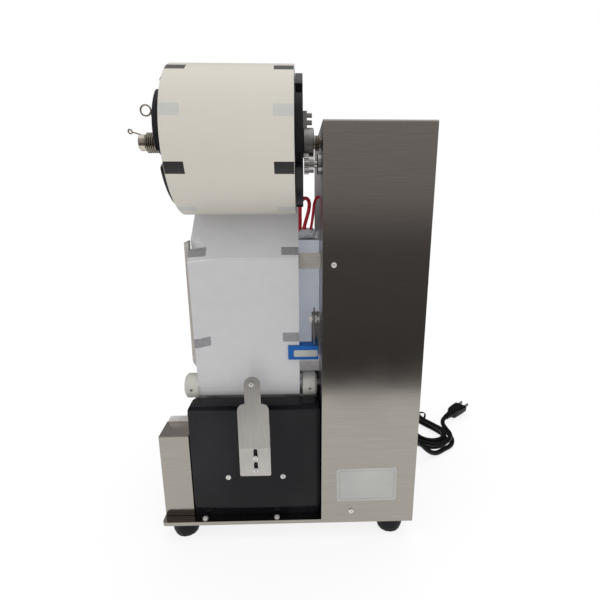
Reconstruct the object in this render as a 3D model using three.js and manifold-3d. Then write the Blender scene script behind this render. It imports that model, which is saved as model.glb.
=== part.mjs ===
// Cup sealing machine: film roll on a sprung shaft, film path, heated head, cup drawer, tower and base.
// Millimetres, +Z up. While modelling, X = 0 is the tower's side wall, Y = 0 its near face, Z = 0 the table.

import * as THREE from "three";
import { mergeVertices } from "three/addons/utils/BufferGeometryUtils.js";
import Module from "manifold-3d";

const wasm = await Module();
wasm.setup();

// Clearances and cuts shared by all pieces
const touchGap = 0.3;
const runningGap = 0.5;
const cutOverrun = 1;
const edgeRound = 1;

// Tower, which stands right of its side wall
const tower = {
  width: 117.3,
  depth: 296,
  bottom: 24,
  top: 506,
  sheet: 1.2,
  panelSheet: 1.5,
  wallSheet: 3,
  bendRadius: 3,
};

// Base tray on four feet
const tray = {
  lipBeyondBox: 1.3,
  top: 29,
  sheet: 1.5,
  cornerRadius: 4,
};
const foot = {
  insetX: 24,
  insetY: 23,
  solePad: 15,
  bulge: 17.6,
  shoulder: 15.8,
  stud: 10,
  bulgeHeight: 8,
  shoulderHeight: 18,
};

// Left rail box, a low part near the roll side and a higher part behind it
const railBox = {
  width: 36.6,
  nearFace: 12,
  lowTop: 144,
  highTop: 152,
  stepY: 48,
  farGap: 2,
  sheet: 1.2,
};

// Drawer runners on the box wall and on the tower wall
const runner = {
  depth: 5,
  thickness: 2,
  lowerZ: 98,
  slot: 14,
  nearY: 60,
  farMargin: 16,
};

// Glossy rear cover between box and tower
const rearCover = {
  nearFace: 12,
  depth: 22,
  top: 184.6,
  wall: 2.5,
  cornerRadius: 6,
  edgeBevel: 2.5,
  sideGap: 0.8,
};

// Slotted finger bracket on the rear cover
const finger = {
  cupOffset: 0.9,
  sheet: 1.5,
  tongueWidth: 19.4,
  tongueTop: 223.2,
  bodyWidth: 38,
  bodyTop: 188,
  bodyBottom: 128,
  shoulder: 9,
  plateWidth: 38.7,
  plateBottom: 87.6,
  plateTop: 160,
  slotWidth: 5,
  slotLength: 15.8,
  lowerSlotZ: 99.9,
  upperSlotZ: 118.3,
  slotOffsetX: 0.8,
};

// Film, its roll and its reel
const film = {
  wallGap: 26.3,
  cupInset: 55.4,
  width: 127,
  thickness: 0.4,
  marginInRoll: 2.3,
};
const roll = {
  axisY: 50,
  axisZ: 487.65,
  radius: 78.2,
  bore: 35,
};
const flange = {
  radius: 69.8,
  thickness: 7.6,
  rollGap: 0.8,
  notchWidth: 14,
  notchDepth: 17,
  notches: 6,
  firstNotchDegrees: 198.4,
  spigotLength: 12,
  spigotWall: 5,
  hubRadius: 14,
  hubLength: 14.5,
};
const brake = {
  thickness: 4.3,
  width: 12,
  bottomZ: 505.4,
  height: 15.2,
  boltRadius: 2.6,
  boltHead: 5.6,
  boltInset: 3.8,
  boltSides: 6,
};
const supplyShaft = {
  radius: 8.7,
  neckRadius: 6,
  endBeyondHub: 21.9,
  capLength: 7,
  chamfer: 1,
  inside: 21,
  nutThickness: 4,
  nutRadius: 9,
};
const collar = {
  radius: 16.35,
  width: 11.7,
};
const brakeSpring = {
  wire: 2,
  meanRadius: 7.6,
  curls: 2.3,
};
const lockSpring = {
  wire: 1.8,
  meanRadius: 10.05,
  curls: 5.5,
  pitch: 2.3,
  ringRadius: 5.4,
  ringBeyondHub: 13,
  ringRise: 33.65,
  ringTurnDegrees: 300,
  ringOffsetY: -4.5,
  armBeyondHub: 33.5,
  armTipRise: 12.35,
  armRise: 4,
};

// Knurled thumb wheel under the collar
const thumbWheel = {
  axisY: 35,
  axisZ: 464.6,
  radius: 10.9,
  rimWidth: 5.2,
  rimStart: 19.1,
  ridges: 20,
  ridgeHeight: 0.8,
  hubRadius: 9.3,
  hubWidth: 5.5,
  shaftRadius: 4,
  inside: 12,
  setHole: 1.6,
};
const wallHub = {
  radius: 10.9,
  thickness: 5,
  setHole: 1.6,
};

// Rollers under the film
const roller = {
  rearY: 52,
  frontInset: 52,
  axisZ: 193.5,
  radius: 12.5,
  shortOfFilm: 0.3,
  beyondFilm: 3.7,
  rodRadius: 4,
  bushRadius: 5.5,
  bushLength: 3.2,
  collarRadius: 15.7,
  collarWidth: 18.3,
  collarChamfer: 2.5,
  setHole: 1.8,
  nutRadius: 7,
  nutThickness: 3,
};

// Guide plate, whose nose bends the film downwards
const guide = {
  leftBeyondFilm: 5.7,
  rightBeyondFilm: 1.7,
  nearFace: 42,
  sheet: 1.2,
  bottom: 221,
  cornerRadius: 12,
  flangeDepth: 23,
  holeRadius: 3,
  holeInset: 6.4,
  holeRise: 12,
  armTop: 365.4,
  armHeight: 18.6,
  earRise: 12.6,
  endFlange: 18,
  noseLeftInset: 3.3,
  noseRightInset: 3.7,
  noseNearFace: 29.9,
  noseDrop: 5,
  noseHeight: 15.4,
  noseRadius: 3,
  noseLeanDegrees: 8,
  earWidth: 5,
};

// Fork sensor at the film's edge and its arm
const sensor = {
  left: 39.9,
  web: 24,
  right: 3,
  nearFace: 31,
  nearProng: 3.5,
  slot: 4.2,
  depth: 16,
  bottom: 235.6,
  top: 253.2,
  notchMargin: 4,
  armWidth: 8,
  armSheet: 1.5,
  armTop: 292,
  footDepth: 22,
};

// Heated head
const head = {
  leftInset: 8.4,
  nearReach: 68.5,
  farReach: 58,
  rearSheet: 2,
  lowerBottom: 199.5,
  lowerTop: 214,
  lowerHoleRadius: 54.5,
  topBottom: 364,
  topTop: 376,
  postRadius: 6,
  postInset: 10,
  nearPostReach: 54,
  farPostReach: 46,
  springWire: 1.6,
  springMeanRadius: 9,
  springCurls: 8,
  carriageBottom: 300,
  carriageTop: 308,
  carriageInset: 4,
  bushRadius: 10,
  bushHeight: 8,
  dieRadius: 52,
  dieHeight: 36,
  stemRadius: 20,
  cutterWall: 2.5,
  cutterDepth: 3,
};
const terminals = {
  length: 60,
  cupOffset: 8.3,
  inset: 6.5,
  depth: 18,
  height: 14.7,
  bars: 5,
  grooveWidth: 2,
  grooveDepth: 4,
};
const heaterLead = {
  radius: 1.6,
  startX: -17,
  wallZ: 428,
  inset: 9.5,
  peakZ: 432,
};

// Head lift: arm through the wall, rack, pinion and motor
const lift = {
  travel: 18,
  armWidth: 16,
  slotMargin: 1.5,
  rackX: 22,
  rackThickness: 10,
  rackBottom: 240,
  rackTop: 330,
  gearModule: 1.5,
  pinionTeeth: 16,
  pinionZ: 285,
  pressureDegrees: 20,
  backlash: 0.35,
  dedendumShare: 1.25,
  pinionBore: 4,
  flangeX: 36,
  flangeThickness: 4,
  motorRadius: 24,
  motorLength: 46,
  shaftIntoMotor: 8,
  nearLegReach: 36,
  farLegReach: 28,
  legInset: 6,
  legRadius: 4,
  flangeHeight: 56,
};

// Take-up reel and its gear motor
const takeup = {
  axisInset: 34,
  axisZ: 345,
  filmRadius: 24,
  coreRadius: 12,
  flangeRadius: 30,
  flangeThickness: 3,
  flangeGap: 3,
  shaftRadius: 5,
  gearboxRadius: 27,
  gearboxLength: 16,
  motorRadius: 21,
  motorLength: 34,
  shaftInside: 10,
};

// Cup drawer
const drawer = {
  nearY: 56,
  frontInset: 12.5,
  bottom: 34,
  top: 171.3,
  topSheet: 3,
  wall: 1.5,
  sideGap: 0.8,
  frontThickness: 12,
  frontBottom: 33,
  frontTop: 180,
  frontRadius: 4,
  frontSideGap: 0.5,
  ringHoleRadius: 52,
  cupRadius: 44.5,
  ringFlangeRadius: 58,
  ringTop: 175.5,
  ringDepth: 12,
  rimSeatRadius: 47.5,
  rimSeatDepth: 2,
  handleLength: 100,
  handleReach: 26,
  handleBar: 9,
  handleZ: 146,
  handleHeight: 12,
};

// Control panel on the operator's side
const panel = {
  centreX: 58.65,
  controllerZ: 430,
  controllerBezel: 48,
  controllerBody: 44.4,
  bezelDepth: 7,
  bodyDepth: 60,
  startZ: 295,
  feedZ: 250,
  switchZ: 165,
  capRadius: 12,
  capHeight: 7.5,
  capGap: 3.5,
  ringWall: 2.5,
  ringHeight: 5,
  stemRadius: 5,
  clipRadius: 8,
  clipThickness: 3,
  rockerWidth: 20,
  rockerHalfHeight: 12,
  rockerFront: 8,
  rockerBack: 7,
  rockerWaist: 6,
  rockerSlopeDegrees: 8,
  rockerBezelWall: 2.5,
  rockerBezelHeight: 3,
  rockerClear: 2,
};

// Control board inside the tower
const board = {
  standOff: 17,
  thickness: 1.6,
  length: 100,
  farMargin: 16,
  bottom: 50,
  top: 130,
  legRadius: 3,
  legInset: 8,
  partDepth: 18,
  partSize: 22,
  partGap: 8,
  parts: 3,
};

// Mains cord: gland, tail on the table, hank, lead and plug
const cord = {
  diameter: 8,
  layerRise: 8.6,
  ringGap: 11.2,
  foldRadius: 24.5,
  run: 120,
  waist: 12,
  loopSteps: 24,
  inwardLoops: 1.5,
  axisDegrees: 110,
  frontFoldX: 204.6,
  frontFoldY: 221,
  floorGap: 0.1,
  sides: 6,
  exitReach: 34,
  landingReach: 40,
  tailSteps: 16,
};
const gland = {
  centreY: 172,
  centreZ: 42,
  neckRadius: 6.7,
  flangeRadius: 10,
  flangeThickness: 4,
  nutThickness: 5,
  reliefLength: 20,
  reliefRadius: 8,
  reliefTip: 4.9,
};
const plug = {
  reliefLength: 20,
  reliefTip: 4.9,
  neckHalf: 8,
  faceHalf: 12.6,
  bodyLength: 39,
  thickness: 19,
  bladeLength: 17.5,
  bladeWidth: 6.35,
  bladeThickness: 1.5,
  bladeSpacing: 12.7,
  axisDegrees: 42,
  leadRadius: 40,
};

// Facets on round shapes, by size
const facets = { large: 56, wide: 40, medium: 24, small: 14, tiny: 8, curl: 8, curlSides: 5 };
const arcSteps = 4;

// Materials
function finish(color, roughness, metalness) {
  return new THREE.MeshStandardMaterial({ color, roughness, metalness });
}
const stainless = finish(0xa09c95, 0.2, 1.0);
const plateGrey = finish(0x8f9297, 0.4, 0.6);
const blackGloss = finish(0x0c0c0e, 0.12, 0.0);
const blackMatte = finish(0x141416, 0.5, 0.0);
const rubber = finish(0x1b1b1c, 0.85, 0.0);
const steel = finish(0xb9bbbd, 0.25, 1.0);
const springSteel = finish(0xb3a88f, 0.3, 1.0);
const aluminium = finish(0xbfc1c3, 0.35, 0.9);
const zincSteel = finish(0xc9c4b4, 0.35, 0.9);
const filmPlastic = finish(0xd6d2c8, 0.3, 0.0);
const whitePlastic = finish(0xe6e4df, 0.4, 0.0);
const bluePlastic = finish(0x1b4fa3, 0.35, 0.0);
const redRubber = finish(0xb5121b, 0.45, 0.0);
const greenBoard = finish(0x1f5a36, 0.5, 0.0);
const greenCap = finish(0x2f9a4a, 0.35, 0.0);

// A closed solid from a geometry, with its shared points merged and its faces turned out
function solidOf(geometry) {
  const bare = geometry.index ? geometry.toNonIndexed() : geometry.clone();
  bare.deleteAttribute("normal");
  bare.deleteAttribute("uv");
  const merged = mergeVertices(bare);
  const corners = merged.index.array;
  const kept = [];
  for (let i = 0; i < corners.length; i += 3) {
    const [a, b, c] = [corners[i], corners[i + 1], corners[i + 2]];
    if (a !== b && b !== c && c !== a) kept.push(a, b, c);
  }
  const made = solidFromTriangles(merged.attributes.position.array, kept);
  if (made.volume() > 0) return made;
  return solidFromTriangles(merged.attributes.position.array, kept.reverse());
}

function solidFromTriangles(vertProperties, corners) {
  return new wasm.Manifold(
    new wasm.Mesh({ numProp: 3, vertProperties, triVerts: new Uint32Array(corners) }),
  );
}

function join(first, ...others) {
  return others.reduce((whole, other) => whole.add(other), first);
}

function cut(first, ...tools) {
  return tools.reduce((whole, tool) => whole.subtract(tool), first);
}

// A box between two corners given per axis
function block([x0, x1], [y0, y1], [z0, z1]) {
  const geometry = new THREE.BoxGeometry(x1 - x0, y1 - y0, z1 - z0);
  geometry.translate((x0 + x1) / 2, (y0 + y1) / 2, (z0 + z1) / 2);
  return solidOf(geometry);
}

// A shape pushed along one axis: shapes for x lie in (y, z), for y in (x, z) and for z in (x, y)
const axisFrames = {
  x: [new THREE.Vector3(0, 1, 0), new THREE.Vector3(0, 0, 1), new THREE.Vector3(1, 0, 0)],
  y: [new THREE.Vector3(1, 0, 0), new THREE.Vector3(0, 0, 1), new THREE.Vector3(0, -1, 0)],
  z: [new THREE.Vector3(1, 0, 0), new THREE.Vector3(0, 1, 0), new THREE.Vector3(0, 0, 1)],
};
const axisUnits = {
  x: new THREE.Vector3(1, 0, 0),
  y: new THREE.Vector3(0, 1, 0),
  z: new THREE.Vector3(0, 0, 1),
};

function push(axis, shape, from, to, curveSegments = arcSteps) {
  const geometry = new THREE.ExtrudeGeometry(shape, {
    depth: to - from,
    bevelEnabled: false,
    curveSegments,
  });
  geometry.applyMatrix4(new THREE.Matrix4().makeBasis(...axisFrames[axis]));
  geometry.translate(...axisUnits[axis].clone().multiplyScalar(axis === "y" ? to : from));
  return solidOf(geometry);
}

// A profile of [radius, place along the axis] turned round an axis through a point
function turn(axis, profile, centre, sides) {
  const points = profile.map(([radius, along]) => new THREE.Vector2(radius, along));
  const geometry = new THREE.LatheGeometry(points, sides);
  if (axis === "x") geometry.rotateZ(-Math.PI / 2);
  if (axis === "z") geometry.rotateX(Math.PI / 2);
  geometry.translate(...centre);
  return solidOf(geometry);
}

function rod(axis, radius, from, to, centre, sides) {
  return turn(axis, [[0, from], [radius, from], [radius, to], [0, to]], centre, sides);
}

function pipe(axis, outer, inner, from, to, centre, sides) {
  const profile = [[inner, from], [outer, from], [outer, to], [inner, to], [inner, from]];
  return turn(axis, profile, centre, sides);
}

// Outlines
function polygon(points) {
  return new THREE.Shape(points.map(([u, v]) => new THREE.Vector2(u, v)));
}

function roundedOutline(u0, u1, v0, v1, radius) {
  const shape = new THREE.Shape();
  shape.moveTo(u0 + radius, v0);
  shape.lineTo(u1 - radius, v0);
  shape.absarc(u1 - radius, v0 + radius, radius, -Math.PI / 2, 0);
  shape.lineTo(u1, v1 - radius);
  shape.absarc(u1 - radius, v1 - radius, radius, 0, Math.PI / 2);
  shape.lineTo(u0 + radius, v1);
  shape.absarc(u0 + radius, v1 - radius, radius, Math.PI / 2, Math.PI);
  shape.lineTo(u0, v0 + radius);
  shape.absarc(u0 + radius, v0 + radius, radius, Math.PI, 1.5 * Math.PI);
  return shape;
}

function slotOutline(centreU, centreV, width, length) {
  const radius = width / 2;
  const reach = length / 2 - radius;
  const shape = new THREE.Shape();
  shape.absarc(centreU, centreV + reach, radius, 0, Math.PI);
  shape.absarc(centreU, centreV - reach, radius, Math.PI, 2 * Math.PI);
  return shape;
}

// One unbroken tube through points, with square ends
function tubeThrough(points, radius, sides) {
  const rings = points.length;
  const positions = [];
  let side = null;
  points.forEach((point, i) => {
    const before = points[Math.max(i - 1, 0)];
    const after = points[Math.min(i + 1, rings - 1)];
    const heading = after.clone().sub(before).normalize();
    if (!side) side = anyAcross(heading);
    side.addScaledVector(heading, -side.dot(heading)).normalize();
    const up = heading.clone().cross(side);
    for (let k = 0; k < sides; k += 1) {
      const angle = (2 * Math.PI * k) / sides;
      const corner = point.clone();
      corner.addScaledVector(side, radius * Math.cos(angle));
      corner.addScaledVector(up, radius * Math.sin(angle));
      positions.push(corner.x, corner.y, corner.z);
    }
  });
  const index = [];
  for (let i = 0; i < rings - 1; i += 1) {
    for (let k = 0; k < sides; k += 1) {
      const a = i * sides + k;
      const b = i * sides + ((k + 1) % sides);
      index.push(a, b, b + sides, a, b + sides, a + sides);
    }
  }
  for (let k = 1; k < sides - 1; k += 1) {
    const last = (rings - 1) * sides;
    index.push(0, k + 1, k, last, last + k, last + k + 1);
  }
  const geometry = new THREE.BufferGeometry();
  geometry.setAttribute("position", new THREE.Float32BufferAttribute(positions, 3));
  geometry.setIndex(index);
  return solidOf(geometry);
}

function anyAcross(heading) {
  const guess = Math.abs(heading.x) > Math.abs(heading.z) ? axisUnits.z : axisUnits.x;
  return guess.clone().cross(heading).normalize();
}

// Least gap of a wound tube to itself, measured between points that lie apart along the tube
function printLeastGap(name, points, diameter) {
  const along = [0];
  for (let i = 1; i < points.length; i += 1) {
    along.push(along[i - 1] + points[i].distanceTo(points[i - 1]));
  }
  let least = Infinity;
  for (let i = 0; i < points.length; i += 1) {
    for (let j = i + 1; j < points.length; j += 1) {
      if (along[j] - along[i] < 3 * diameter) continue;
      least = Math.min(least, nearestOnStep(points, i, j) - diameter);
    }
  }
  console.log(`${name}: least gap to itself ${least.toFixed(2)} mm, length ${along.at(-1).toFixed(0)} mm`);
}

function nearestOnStep(points, i, j) {
  if (j + 1 >= points.length) return points[i].distanceTo(points[j]);
  const step = new THREE.Line3(points[j], points[j + 1]);
  return step.closestPointToPoint(points[i], true, new THREE.Vector3()).distanceTo(points[i]);
}

// A helix round an axis along x or z, with a straight end of one wire diameter at each end
function helix(axis, radius, from, to, curls, [c1, c2], startDegrees) {
  const steps = Math.round(curls * facets.curl);
  const points = [];
  for (let i = 0; i <= steps; i += 1) {
    const angle = THREE.MathUtils.degToRad(startDegrees) + (2 * Math.PI * i) / facets.curl;
    const along = from + ((to - from) * i) / steps;
    const [a, b] = [c1 + radius * Math.cos(angle), c2 + radius * Math.sin(angle)];
    points.push(axis === "x" ? new THREE.Vector3(along, a, b) : new THREE.Vector3(a, b, along));
  }
  return points;
}

function withStraightEnds(points, length) {
  const [first, second] = points;
  const [beforeLast, last] = points.slice(-2);
  const start = first.clone().sub(second).setLength(length).add(first);
  const end = last.clone().sub(beforeLast).setLength(length).add(last);
  return [start, ...points, end];
}

// Places that follow from the driving sizes
const filmRight = -film.wallGap;
const filmLeft = filmRight - film.width;
const cupX = filmRight - film.cupInset;
const wallLeft = 2 * cupX;
const boxLeft = wallLeft - railBox.width;
const trayLeft = boxLeft - tray.lipBeyondBox;
const cupY = tower.depth / 2;
const rollLeft = filmLeft - film.marginInRoll;
const rollRight = filmRight - film.marginInRoll;
const innerFlangeLeft = rollRight + flange.rollGap;
const innerFlangeRight = innerFlangeLeft + flange.thickness;
const outerFlangeRight = rollLeft - flange.rollGap;
const outerFlangeLeft = outerFlangeRight - flange.thickness;
const hubLeft = outerFlangeLeft - flange.hubLength;
const collarLeft = innerFlangeRight + touchGap;
const collarRight = collarLeft + collar.width;
const supplyCentre = [0, roll.axisY, roll.axisZ];
const thumbCentre = [0, thumbWheel.axisY, thumbWheel.axisZ];
const takeupY = tower.depth - takeup.axisInset;
const takeupCentre = [0, takeupY, takeup.axisZ];
const wallInside = tower.wallSheet + touchGap;
const panelInside = tower.depth - tower.panelSheet;
const headLeft = wallLeft + head.leftInset;
const headRight = -touchGap;
const headNear = cupY - head.nearReach;
const headFar = cupY + head.farReach;
const postX = headLeft + head.postInset;
const postYs = { rear: cupY - head.nearPostReach, front: cupY + head.farPostReach };
const rollerLeft = filmLeft + roller.shortOfFilm;
const rollerRight = filmRight + roller.beyondFilm;
const frontRollerY = tower.depth - roller.frontInset;
const runnerFar = tower.depth - runner.farMargin;
const drawerFar = tower.depth - drawer.frontInset;
const noseTop = guide.armTop - guide.noseDrop;
const fingerX = cupX - finger.cupOffset;
const armNear = cupY - lift.armWidth / 2;
const armFar = armNear + lift.armWidth;
const toothDepth = lift.dedendumShare * lift.gearModule;

// The film's circles in the (y, z) plane, in the order in which the film passes them
const filmSkin = touchGap + film.thickness / 2;
const filmStations = [
  { y: roll.axisY, z: roll.axisZ, radius: roll.radius + filmSkin, sense: -1 },
  {
    y: guide.noseNearFace + guide.noseRadius,
    z: noseTop - guide.noseRadius,
    radius: guide.noseRadius + filmSkin,
    sense: 1,
  },
  { y: roller.rearY, z: roller.axisZ, radius: roller.radius + filmSkin, sense: 1 },
  { y: frontRollerY, z: roller.axisZ, radius: roller.radius + filmSkin, sense: 1 },
  { y: takeupY, z: takeup.axisZ, radius: takeup.filmRadius + filmSkin, sense: 1 },
];

// Angle of the film's normal on the straight stretch between two circles
function normalBetween(a, b) {
  const reach = Math.hypot(b.y - a.y, b.z - a.z);
  const offset = a.sense * a.radius - b.sense * b.radius;
  return Math.atan2(b.z - a.z, b.y - a.y) - Math.acos(offset / reach);
}

// Points on the film's middle line with the angle of its normal at each
function filmLine() {
  const line = [];
  const last = filmStations.length - 1;
  filmStations.forEach((station, i) => {
    const arriving = i > 0 ? normalBetween(filmStations[i - 1], station) : null;
    const leaving = i < last ? normalBetween(station, filmStations[i + 1]) : null;
    const from = arriving ?? leaving;
    let sweep = (leaving ?? arriving) - from;
    if (sweep < 0) sweep += 2 * Math.PI;
    const steps = sweep > 0 ? 2 * arcSteps : 0;
    for (let k = 0; k <= steps; k += 1) {
      const angle = from + (steps ? (sweep * k) / steps : 0);
      line.push({
        y: station.y + station.sense * station.radius * Math.cos(angle),
        z: station.z + station.sense * station.radius * Math.sin(angle),
        angle,
      });
    }
  });
  return line;
}

// Base and tower
function baseTray() {
  const [left, right] = [trayLeft, tower.width - tower.sheet - touchGap];
  const outline = roundedOutline(left, right, 0, tower.depth, tray.cornerRadius);
  const inside = roundedOutline(
    left + tray.sheet,
    right - tray.sheet,
    tray.sheet,
    tower.depth - tray.sheet,
    tray.cornerRadius - tray.sheet,
  );
  const shell = push("z", outline, tower.bottom, tray.top);
  const hollow = push("z", inside, tower.bottom - cutOverrun, tray.top - tray.sheet);
  const setBack = tower.sheet + touchGap;
  const behindCover = block(
    [-touchGap, right + cutOverrun],
    [-cutOverrun, setBack],
    [tower.bottom - cutOverrun, tray.top + cutOverrun],
  );
  const nearLip = block([-touchGap, right], [setBack, setBack + tray.sheet], [tower.bottom, tray.top]);
  return join(cut(shell, hollow, behindCover), nearLip);
}

function rubberFoot(x, y) {
  const studTop = tray.top - tray.sheet - touchGap;
  const profile = [
    [0, 0],
    [foot.solePad, 0],
    [foot.bulge, foot.bulgeHeight],
    [foot.shoulder, foot.shoulderHeight],
    [foot.stud, tower.bottom],
    [foot.stud, studTop],
    [0, studTop],
  ];
  return turn("z", profile, [x, y, 0], facets.small);
}

// Tower side wall with the bushes of the rollers, the head's slot and the drawer runners
function mechanismPlate() {
  const nearEdge = tower.sheet + touchGap;
  const plate = block(
    [0, tower.wallSheet],
    [nearEdge, panelInside - touchGap],
    [tray.top + touchGap, tower.top - tower.sheet - touchGap],
  );
  const underBend = block(
    [-cutOverrun, tower.wallSheet + cutOverrun],
    [0, tower.bendRadius],
    [tower.top - tower.bendRadius, tower.top],
  );
  const bushes = [roller.rearY, frontRollerY].map((y) =>
    rod("x", roller.bushRadius, -roller.bushLength, edgeRound, [0, y, roller.axisZ], facets.small),
  );
  const through = [-roller.bushLength - cutOverrun, tower.wallSheet + cutOverrun];
  const rodHoles = [roller.rearY, frontRollerY].map((y) =>
    rod("x", roller.rodRadius + touchGap, ...through, [0, y, roller.axisZ], facets.small),
  );
  const slotNear = armNear - lift.slotMargin;
  const slotFar = armFar + lift.slotMargin;
  const slotLow = head.carriageBottom - lift.travel - lift.slotMargin;
  const slot = block(through, [slotNear, slotFar], [slotLow, head.carriageTop + lift.slotMargin]);
  return cut(
    join(plate, ...bushes, ...runnerRibs(0, -1)),
    underBend,
    ...rodHoles,
    slot,
    rod("x", bearingSpigot() + touchGap, ...through, supplyCentre, facets.medium),
    rod("x", thumbSpigot() + touchGap, ...through, thumbCentre, facets.small),
    rod("x", takeup.shaftRadius + runningGap, ...through, takeupCentre, facets.small),
  );
}

function bearingSpigot() {
  return supplyShaft.neckRadius + tower.wallSheet;
}

function thumbSpigot() {
  return thumbWheel.shaftRadius + tower.wallSheet / 2;
}

// Two ribs that hold the drawer's slide bar, on a wall at x with the ribs towards the drawer
function runnerRibs(x, direction) {
  const rootX = x - direction * edgeRound;
  const tipX = x + direction * runner.depth;
  const span = [Math.min(rootX, tipX), Math.max(rootX, tipX)];
  const lowerBottom = runner.lowerZ - runner.thickness;
  const upperBottom = runner.lowerZ + runner.slot;
  return [lowerBottom, upperBottom].map((z) =>
    block(span, [runner.nearY, runnerFar], [z, z + runner.thickness]),
  );
}

// Bent cover of the tower: near wall, top and right wall in one sheet
function towerCover() {
  const farEdge = panelInside - touchGap;
  const outer = new THREE.Shape();
  outer.moveTo(0, tower.bottom);
  outer.lineTo(farEdge, tower.bottom);
  outer.lineTo(farEdge, tower.top);
  outer.lineTo(tower.bendRadius, tower.top);
  outer.absarc(tower.bendRadius, tower.top - tower.bendRadius, tower.bendRadius, Math.PI / 2, Math.PI);
  const full = push("x", outer, 0, tower.width);
  const innerRadius = tower.bendRadius - tower.sheet;
  const roof = tower.top - tower.sheet;
  const inner = new THREE.Shape();
  inner.moveTo(tower.sheet, tower.bottom - cutOverrun);
  inner.lineTo(farEdge + cutOverrun, tower.bottom - cutOverrun);
  inner.lineTo(farEdge + cutOverrun, roof);
  inner.lineTo(tower.bendRadius, roof);
  inner.absarc(tower.bendRadius, roof - innerRadius, innerRadius, Math.PI / 2, Math.PI);
  const hollow = push("x", inner, -cutOverrun, tower.width - tower.sheet);
  const through = [tower.width - tower.sheet - cutOverrun, tower.width + cutOverrun];
  const glandHole = rod("x", gland.neckRadius + touchGap, ...through, glandCentre(), facets.small);
  return cut(full, hollow, glandHole);
}

function glandCentre() {
  return [0, gland.centreY, gland.centreZ];
}

// Operator's panel with its cut-outs and the raised rings round the buttons and the switch
function controlPanel() {
  const [near, far] = [panelInside, tower.depth];
  const sheet = block([0, tower.width], [near, far], [tray.top + touchGap, tower.top]);
  const x = panel.centreX;
  const halfBody = panel.controllerBody / 2 + touchGap;
  const controllerHole = block(
    [x - halfBody, x + halfBody],
    [near - cutOverrun, far + cutOverrun],
    [panel.controllerZ - halfBody, panel.controllerZ + halfBody],
  );
  const ringInner = panel.capRadius + runningGap;
  const ringOuter = ringInner + panel.ringWall;
  const rings = [panel.startZ, panel.feedZ].map((z) =>
    pipe("y", ringOuter, ringInner, far - edgeRound, far + panel.ringHeight, [x, 0, z], facets.medium),
  );
  const stemHoles = [panel.startZ, panel.feedZ].map((z) =>
    rod("y", panel.stemRadius + runningGap, near - cutOverrun, far + cutOverrun, [x, 0, z], facets.small),
  );
  const halfWidth = panel.rockerWidth / 2 + runningGap;
  const halfHeight = panel.rockerHalfHeight + panel.rockerClear;
  const wall = panel.rockerBezelWall;
  const bezel = block(
    [x - halfWidth - wall, x + halfWidth + wall],
    [far - edgeRound, far + panel.rockerBezelHeight],
    [panel.switchZ - halfHeight - wall, panel.switchZ + halfHeight + wall],
  );
  const rockerHole = block(
    [x - halfWidth, x + halfWidth],
    [near - cutOverrun, far + panel.rockerBezelHeight + cutOverrun],
    [panel.switchZ - halfHeight, panel.switchZ + halfHeight],
  );
  return cut(join(sheet, ...rings, bezel), controllerHole, ...stemHoles, rockerHole);
}

function temperatureController() {
  const [x, z] = [panel.centreX, panel.controllerZ];
  const [halfBezel, halfBody] = [panel.controllerBezel / 2, panel.controllerBody / 2];
  const front = tower.depth + touchGap;
  const bezel = push(
    "y",
    roundedOutline(x - halfBezel, x + halfBezel, z - halfBezel, z + halfBezel, 2 * edgeRound),
    front,
    front + panel.bezelDepth,
  );
  const body = block(
    [x - halfBody, x + halfBody],
    [front - panel.bodyDepth, front + edgeRound],
    [z - halfBody, z + halfBody],
  );
  const window = block(
    [x - halfBody + 2 * edgeRound, x + halfBody - 2 * edgeRound],
    [front + panel.bezelDepth - edgeRound, front + panel.bezelDepth + cutOverrun],
    [z - halfBody / 4, z + halfBody - 2 * edgeRound],
  );
  return cut(join(bezel, body), window);
}

// Push button: cap, stem through the panel and a clip behind it
function pushButton(z) {
  const capBack = tower.depth + panel.capGap;
  const capFront = capBack + panel.capHeight;
  const clipFront = panelInside - touchGap;
  const profile = [
    [0, clipFront - panel.clipThickness],
    [panel.clipRadius, clipFront - panel.clipThickness],
    [panel.clipRadius, clipFront],
    [panel.stemRadius, clipFront],
    [panel.stemRadius, capBack],
    [panel.capRadius, capBack],
    [panel.capRadius, capFront - edgeRound],
    [panel.capRadius - edgeRound, capFront],
    [0, capFront - edgeRound / 2],
  ];
  return turn("y", profile, [panel.centreX, 0, z], facets.medium);
}

// Rocker: two faces that meet in a low ridge, tilted by its slope at rest
function rocker() {
  const slope = THREE.MathUtils.degToRad(panel.rockerSlopeDegrees);
  const drop = panel.rockerHalfHeight * Math.tan(slope);
  const outline = [
    [panel.rockerFront, 0],
    [panel.rockerFront - drop, panel.rockerHalfHeight],
    [0, panel.rockerHalfHeight],
    [-panel.rockerBack, panel.rockerWaist],
    [-panel.rockerBack, -panel.rockerWaist],
    [0, -panel.rockerHalfHeight],
    [panel.rockerFront - drop, -panel.rockerHalfHeight],
  ];
  const tilted = outline.map(([y, z]) => [
    panelInside + y * Math.cos(slope) - z * Math.sin(slope),
    panel.switchZ + y * Math.sin(slope) + z * Math.cos(slope),
  ]);
  const halfWidth = panel.rockerWidth / 2;
  return push("x", polygon(tilted.reverse()), panel.centreX - halfWidth, panel.centreX + halfWidth);
}

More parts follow.
